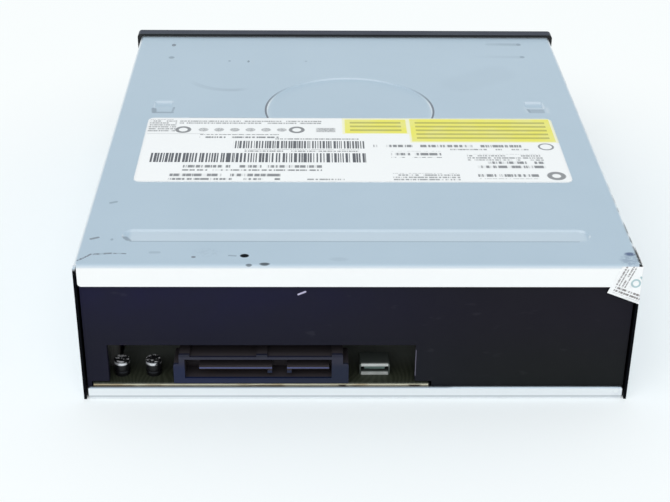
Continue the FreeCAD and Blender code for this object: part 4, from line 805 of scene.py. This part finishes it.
print("print masks ready")

# %% Label panels
PAPER = paint(251, 252, 251)
INK = paint(60, 61, 68)
YELLOW = paint(242, 236, 104)
OLIVE = paint(150, 146, 78)
STRIPE_PITCH = 2.8
label_finish, tree, shader = new_finish("printed_label")
point = millimetres(tree)
x, y, _ = axes(tree, point)
plan = flat(tree, x, y)
fibres = noise(tree, point, 2.4, 3.0)
fine_print = small_print(tree, x, y, 1.45, 0.62, 2.6)
bold_print = small_print(tree, x, y, 2.85, 0.6, 1.5)
tone = blend(tree, fibres, tint(PAPER, 0.965), PAPER)
margin = areas(tree, x, y, (-62.8, -17.8, -7.6, 10.4), (-17.8, 2.6, -7.6, 4.2))
tone = blend(tree, times(tree, margin, 0.55), tone, paint(246, 243, 176))
panels = areas(tree, x, y, (-62.0, -18.4, -7.0, 9.6), (-17.2, 1.8, -6.6, 3.6))
fade = ramp(tree, noise(tree, point, 0.12, 2.0), 0.35, 0.75)
tone = blend(tree, panels, tone, blend(tree, times(tree, fade, 0.4), YELLOW, paint(236, 234, 172)))
insets = areas(tree, x, y, (-60.4, -20.0, -5.6, 8.4), (-15.6, 0.2, -5.6, 2.8))
stripes = between(tree, calc(tree, "FRACT", calc(tree, "DIVIDE", y, STRIPE_PITCH)), 0.28, 0.72, 0.06)
tone = blend(tree, times(tree, stripes, insets, 0.6), tone, OLIVE)
print("panels placed")

# %% Label print
left_bold = areas(tree, x, y, (22.0, 46.0, 4.6, 7.4), (9.0, 49.5, 25.2, 30.0), (21.0, 53.0, 31.0, 36.0))
right_bold = areas(tree, x, y, (-51.0, -6.5, 11.2, 13.9), (-26.5, -11.5, 16.4, 21.0),
                   (-56.5, -36.5, 23.4, 28.8), (-53.5, -36.0, 31.4, 35.0))
left_fine = areas(tree, x, y, (53.8, 62.2, -6.4, 3.2), (9.0, 53.0, -5.6, -2.9), (-2.2, 23.0, 7.2, 8.8),
                  (-2.2, 32.0, 15.4, 17.2), (2.6, 13.4, 34.6, 36.2))
right_fine = areas(tree, x, y, (-53.0, -29.4, 14.3, 16.2), (-56.4, -34.0, 18.4, 22.8),
                   (-30.7, -11.4, 31.4, 36.0))
DOT_ROW = 1.3
large_rings = most(tree, *[ring(tree, plan, (centre, DOT_ROW), 1.9, 1.2) for centre in (51.4, 16.6)])
dots = most(tree, *[spot(tree, x, y, 45.2 - 4.8 * i, DOT_ROW, 1.5, 1.3, 0.3) for i in range(6)])
tabs = most(tree, dots, patch(tree, x, y, 4.8, 10.6, -0.1, 2.9, 0.3))
tabs = times(tree, tabs, ramp(tree, noise(tree, point, 3.0, 2.0), 0.35, 0.6, 0.4, 1.0))
stamps = most(tree, ring(tree, plan, (-58.4, 13.2), 2.1, 0.7), ring(tree, plan, (-58.6, 33.0), 2.0, 1.6))
rule = stroke(tree, plan, (62.0, 4.3), (45.0, 4.3), 0.22)
ink = weighted(tree, (0.75, times(tree, bold_print, most(tree, left_bold, right_bold))),
               (0.65, times(tree, fine_print, most(tree, left_fine, right_fine))),
               (0.75, large_rings), (0.6, tabs), (0.72, stamps), (0.35, rule),
               (0.92, bars(tree, x, y, 0.95, (-4.0, 59.5, 18.0, 24.3))),
               (0.9, bars(tree, x, y, 0.8, (-3.8, 35.5, 9.4, 14.7))))
tone = blend(tree, ink, tone, INK)
rim = calc(tree, "SUBTRACT", 1.0, patch(tree, x, y, -62.3, 62.3, -7.1, 36.5, 0.35))
tone = blend(tree, times(tree, rim, 0.10), tone, paint(150, 150, 146))
plug(tree, shader.inputs["Base Color"], tone)
plug(tree, shader.inputs["Roughness"], ramp(tree, fibres, 0.3, 0.7, 0.42, 0.5))
shader.inputs["Specular IOR Level"].default_value = 0.3
wrinkle = calc(tree, "MULTIPLY_ADD", noise(tree, point, 0.05, 2.0), 3.0, fibres)
bump(tree, shader, wrinkle, 0.3, 0.01 * MM)
finish_of_slot["label_paper"] = label_finish
print("label finish of", len(tree.nodes), "nodes")

# %% [markdown]
# ## Every solid gets its finish
#
# The CAD record names a material slot for each solid. One loop looks the slot up in the table of
# finishes, so no solid can be missed, and a slot without a finish stops the script.

# %% Give every solid its finish
for row in frame["record"]["subparts"]:
    solid = nodes[row["node"]]
    solid.data.materials.clear()
    solid.data.materials.append(finish_of_slot[row["material_slot"]])

# %% [markdown]
# ## The paper seal at the corner
#
# A small paper seal is stuck askew over a rear corner: part lies on the rear flange, part on the side.
# Flat paper bends without stretching, so the sheet is laid out flat first, as a leaning strip, and then
# wrapped: up to the corner it keeps its place on the rear face, past it the same distance runs forward
# along the side, and in between it rolls round a small quarter circle.

# %% Seal surface
SEAL_CORNER = np.array([-64.4, 33.4])
SEAL_LEAN = math.radians(22.0)
SEAL_LENGTH = 22.0
SEAL_HEIGHT = 14.0
SEAL_TOP = 41.15
BEND = 0.08
PROUD = 0.03


def seal_surface(steps_up):
    """(s, t): distance s along the case from the sheet's end, share t of the height from lower to upper edge.

    The sheet is a leaning rectangle cut at the top fold. Its lower edges fall by s tan(lean) and then rise
    by (s - s_end) / tan(lean). Its upper ones rise by s / tan(lean), stay at the fold, then fall again.
    Past the case's corner the same distance runs forward along the side, after a small quarter circle.
    """
    lean_sin, lean_cos = math.sin(SEAL_LEAN), math.cos(SEAL_LEAN)
    left, low = SEAL_CORNER
    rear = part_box("top_cover")[1].y / MM + PROUD
    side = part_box("top_cover")[0].x / MM - PROUD
    level = left - (side + BEND)
    arc = BEND * math.pi / 2
    last = SEAL_LENGTH * lean_cos + SEAL_HEIGHT * lean_sin - 0.05
    s = np.concatenate([np.linspace(0.05, level, 30), level + np.linspace(0.0, arc, 7)[1:],
                        np.linspace(level + arc, last, 50)[1:]])
    torn = 0.25 * np.sin(s * 2.7) + 0.18 * np.sin(s * 6.1 + 1.0)
    lower = np.maximum(low - s * lean_sin / lean_cos,
                       low - SEAL_LENGTH * lean_sin + (s - SEAL_LENGTH * lean_cos) * lean_cos / lean_sin)
    upper = np.minimum(low + s * lean_cos / lean_sin, low + (SEAL_HEIGHT - s * lean_sin) / lean_cos + torn)
    upper = np.maximum(np.minimum(upper, SEAL_TOP), lower + 0.02)
    t = np.linspace(0.0, 1.0, steps_up)
    z = lower[:, None] + (upper - lower)[:, None] * t
    ss = np.repeat(s[:, None], steps_up, axis=1)
    turned = np.clip((ss - level) / BEND, 0.0, math.pi / 2)
    past = np.maximum(ss - level - arc, 0.0)
    x = left - np.minimum(ss, level) - BEND * np.sin(turned)
    y = rear - BEND + BEND * np.cos(turned) - past
    points = np.stack([x, y, z], axis=-1).reshape(-1, 3) * MM
    a = ss * lean_cos - (z - low) * lean_sin
    b = ss * lean_sin + (z - low) * lean_cos
    return points, grid_faces(s.size, steps_up, False), np.stack([a, b], axis=-1).reshape(-1, 2)


seal_finish, tree, shader = new_finish("seal_paper")
uv = tree.nodes.new("ShaderNodeUVMap")
uv.uv_map = "flat_sheet"
u, v, _ = axes(tree, uv.outputs[0])
point = millimetres(tree)
fibres = noise(tree, point, 3.0, 3.0)
tone = blend(tree, fibres, paint(238, 236, 235), paint(252, 252, 251))
sheet = flat(tree, u, v)
across = small_print(tree, u, v, 0.95, 0.6, 2.2)
upward = small_print(tree, v, u, 0.8, 0.6, 2.6)
rows = times(tree, across, areas(tree, u, v, (1.2, 9.4, 0.7, 2.7), (10.6, 20.0, 0.7, 2.7)))
columns = times(tree, upward, areas(tree, u, v, (0.7, 2.1, 2.9, 10.5), (2.5, 3.7, 3.0, 10.5)))
printed = weighted(tree, (0.85, rows), (0.75, columns))
tone = blend(tree, printed, tone, paint(80, 66, 64))
stamped = most(tree, ring(tree, sheet, (5.6, 5.3), 1.05, 0.55),
               stroke(tree, sheet, (6.0, 7.4), (7.2, 6.8), 0.4),
               stroke(tree, sheet, (7.4, 9.2), (8.6, 8.2), 0.5))
tone = blend(tree, times(tree, stamped, 0.6), tone, paint(86, 158, 166))
grubby = ramp(tree, noise(tree, point, 0.5, 3.0), 0.5, 0.7)
tone = blend(tree, times(tree, grubby, 0.12), tone, paint(120, 116, 116))
plug(tree, shader.inputs["Base Color"], tone)
plug(tree, shader.inputs["Roughness"], ramp(tree, fibres, 0.3, 0.7, 0.55, 0.7))
bump(tree, shader, fibres, 0.3, 0.015 * MM)

points, faces, flat_place = seal_surface(30)
seal = new_piece("corner_seal", points, faces, seal_finish)
layer = seal.data.uv_layers.new(name="flat_sheet")
corners = np.zeros(len(seal.data.loops), np.int32)
seal.data.loops.foreach_get("vertex_index", corners)
layer.data.foreach_set("uv", flat_place[corners].astype(np.float32).ravel())
paper = seal.modifiers.new("paper", "SOLIDIFY")
paper.thickness = 0.02 * MM
paper.offset = -1.0
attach(seal, "case")
print("seal of", len(faces), "faces")

# %% [markdown]
# ## Screw heads with cross recesses
#
# The case screws lie in dished seats under the drive, and four more hold the traverse. A round head
# is a turned profile, and the cross recess is where the profile's height is lowered. Both are one
# formula on a polar grid, so no cutting is needed.

# %% Screw surface
def screw_surface(head_radius, head_rise, shank_radius, shank_length, recess, up):
    """Rings of (r, z) carried round a circle; the head's face sinks by recess inside a cross of two bars.

    The cross mask is the larger of two bar masks, |x| < width and |y| < width, ended at the cross's reach.
    """
    spokes = 96
    bevel, width, ease, reach = (share * head_radius for share in (0.14, 0.13, 0.05, 0.62))
    face = np.linspace(0.02, 0.86, 22) * head_radius
    rim = np.linspace(0.0, math.pi / 2, 6)
    radius = np.concatenate([face, head_radius - bevel + bevel * np.sin(rim),
                             [head_radius, shank_radius, shank_radius, 0.02]])
    height = np.concatenate([np.full(face.size, head_rise), head_rise - bevel * 0.7 * (1.0 - np.cos(rim)),
                             [0.0, 0.0, -shank_length, -shank_length - 0.2]])
    turn = np.linspace(0.0, 2.0 * math.pi, spokes, endpoint=False)
    rr, tt = np.meshgrid(radius, turn, indexing="ij")
    x = rr * np.cos(tt)
    y = rr * np.sin(tt)
    z = np.repeat(height[:, None], spokes, axis=1)
    bar_x = np.clip((width - np.abs(x)) / ease, 0.0, 1.0)
    bar_y = np.clip((width - np.abs(y)) / ease, 0.0, 1.0)
    ended = np.clip((reach - rr) / ease, 0.0, 1.0)
    on_face = (np.arange(radius.size) < face.size)[:, None]
    deeper = 1.0 - 0.45 * rr / reach
    z = z - on_face * np.maximum(bar_x, bar_y) * ended * recess * deeper
    points = np.stack([x, y, z if up else -z], axis=-1).reshape(-1, 3)
    quads = grid_faces(radius.size, spokes, True)
    if not up:
        quads = quads[:, ::-1]
    last = (radius.size - 1) * spokes
    closing = [list(range(spokes)), list(range(last, last + spokes))]
    closing = [closing[0], closing[1][::-1]] if up else [closing[0][::-1], closing[1]]
    return points, quads, closing


RECESS = 0.6


def screw_set(name, node, head, shank, rise, length, up, body):
    """One mesh of four screws, standing where the CAD solids' corners say."""
    low, high = (np.array(c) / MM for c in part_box(node))
    level = high[2] - rise if up else low[2] + rise
    centres = [(px, py) for px in (low[0] + head, high[0] - head) for py in (low[1] + head, high[1] - head)]
    points, quads, closing = screw_surface(head, rise, shank, length, RECESS, up)
    everything, faces = [], []
    for index, (px, py) in enumerate(centres):
        everything.append((points + [px, py, level]) * MM)
        faces += (quads + index * len(points)).tolist()
        faces += [[corner + index * len(points) for corner in loop] for loop in closing]
    piece = new_piece(name, np.vstack(everything), faces, finish_of_slot["screw_steel"])
    piece.data.set_sharp_from_angle(angle=math.radians(40.0))
    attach(piece, body)
    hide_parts(node)
    return piece


case_screws = screw_set("case_screw_heads", "case_screws", head=2.6, shank=1.45, rise=0.9, length=6.0,
                        up=False, body="case")
damper_screws = screw_set("damper_screw_heads", "damper_screws", head=2.5, shank=1.2, rise=0.9, length=6.2,
                          up=True, body="lift")
print("screws of", len(case_screws.data.polygons), "and", len(damper_screws.data.polygons), "faces")

# %% [markdown]
# ## The thread of the lead screw
#
# The sled's screw carries a coarse thread that moves the pickup 3 mm a turn. A thread is a cylinder
# whose radius depends on how far along the helix a point is, so one wave function on a grid of angle
# and length makes it. Its hand is such that the pickup moves to the rear as the screw turns forward.

# %% Thread surface
def thread_surface(centre_x, centre_z, y0, y1, radius, depth, lead, spokes, rows):
    """r = radius - depth * w, where w is a flattened cosine of 2 pi (y / lead + angle / turn)."""
    y = np.linspace(y0, y1, rows)
    t = np.linspace(0.0, 2.0 * math.pi, spokes, endpoint=False)
    yy, tt = np.meshgrid(y, t, indexing="ij")
    wave = np.cos(2.0 * math.pi * yy / lead + tt)
    groove = np.clip(0.5 + 1.1 * wave, 0.0, 1.0)
    fading = np.clip(np.minimum(yy - y0, y1 - yy) / 0.8, 0.0, 1.0)
    r = radius - depth * groove * fading
    points = np.stack([centre_x + r * np.sin(tt), yy, centre_z + r * np.cos(tt)], axis=-1).reshape(-1, 3) * MM
    last = (rows - 1) * spokes
    ends = [list(range(spokes)), list(range(last, last + spokes))[::-1]]
    return points, grid_faces(rows, spokes, True).tolist() + ends


LEAD = 3.0
THREAD_DEPTH = 0.22
low, high = (np.array(c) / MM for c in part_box("lead_screw"))
points, faces = thread_surface((low[0] + high[0]) / 2, (low[2] + high[2]) / 2, low[1], high[1],
                               (high[0] - low[0]) / 2, THREAD_DEPTH, LEAD, 32, 420)
thread = new_piece("lead_screw_thread", points, faces, finish_of_slot["rod_chrome"])
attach(thread, "screw")
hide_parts("lead_screw")
print("thread of", len(faces), "faces")
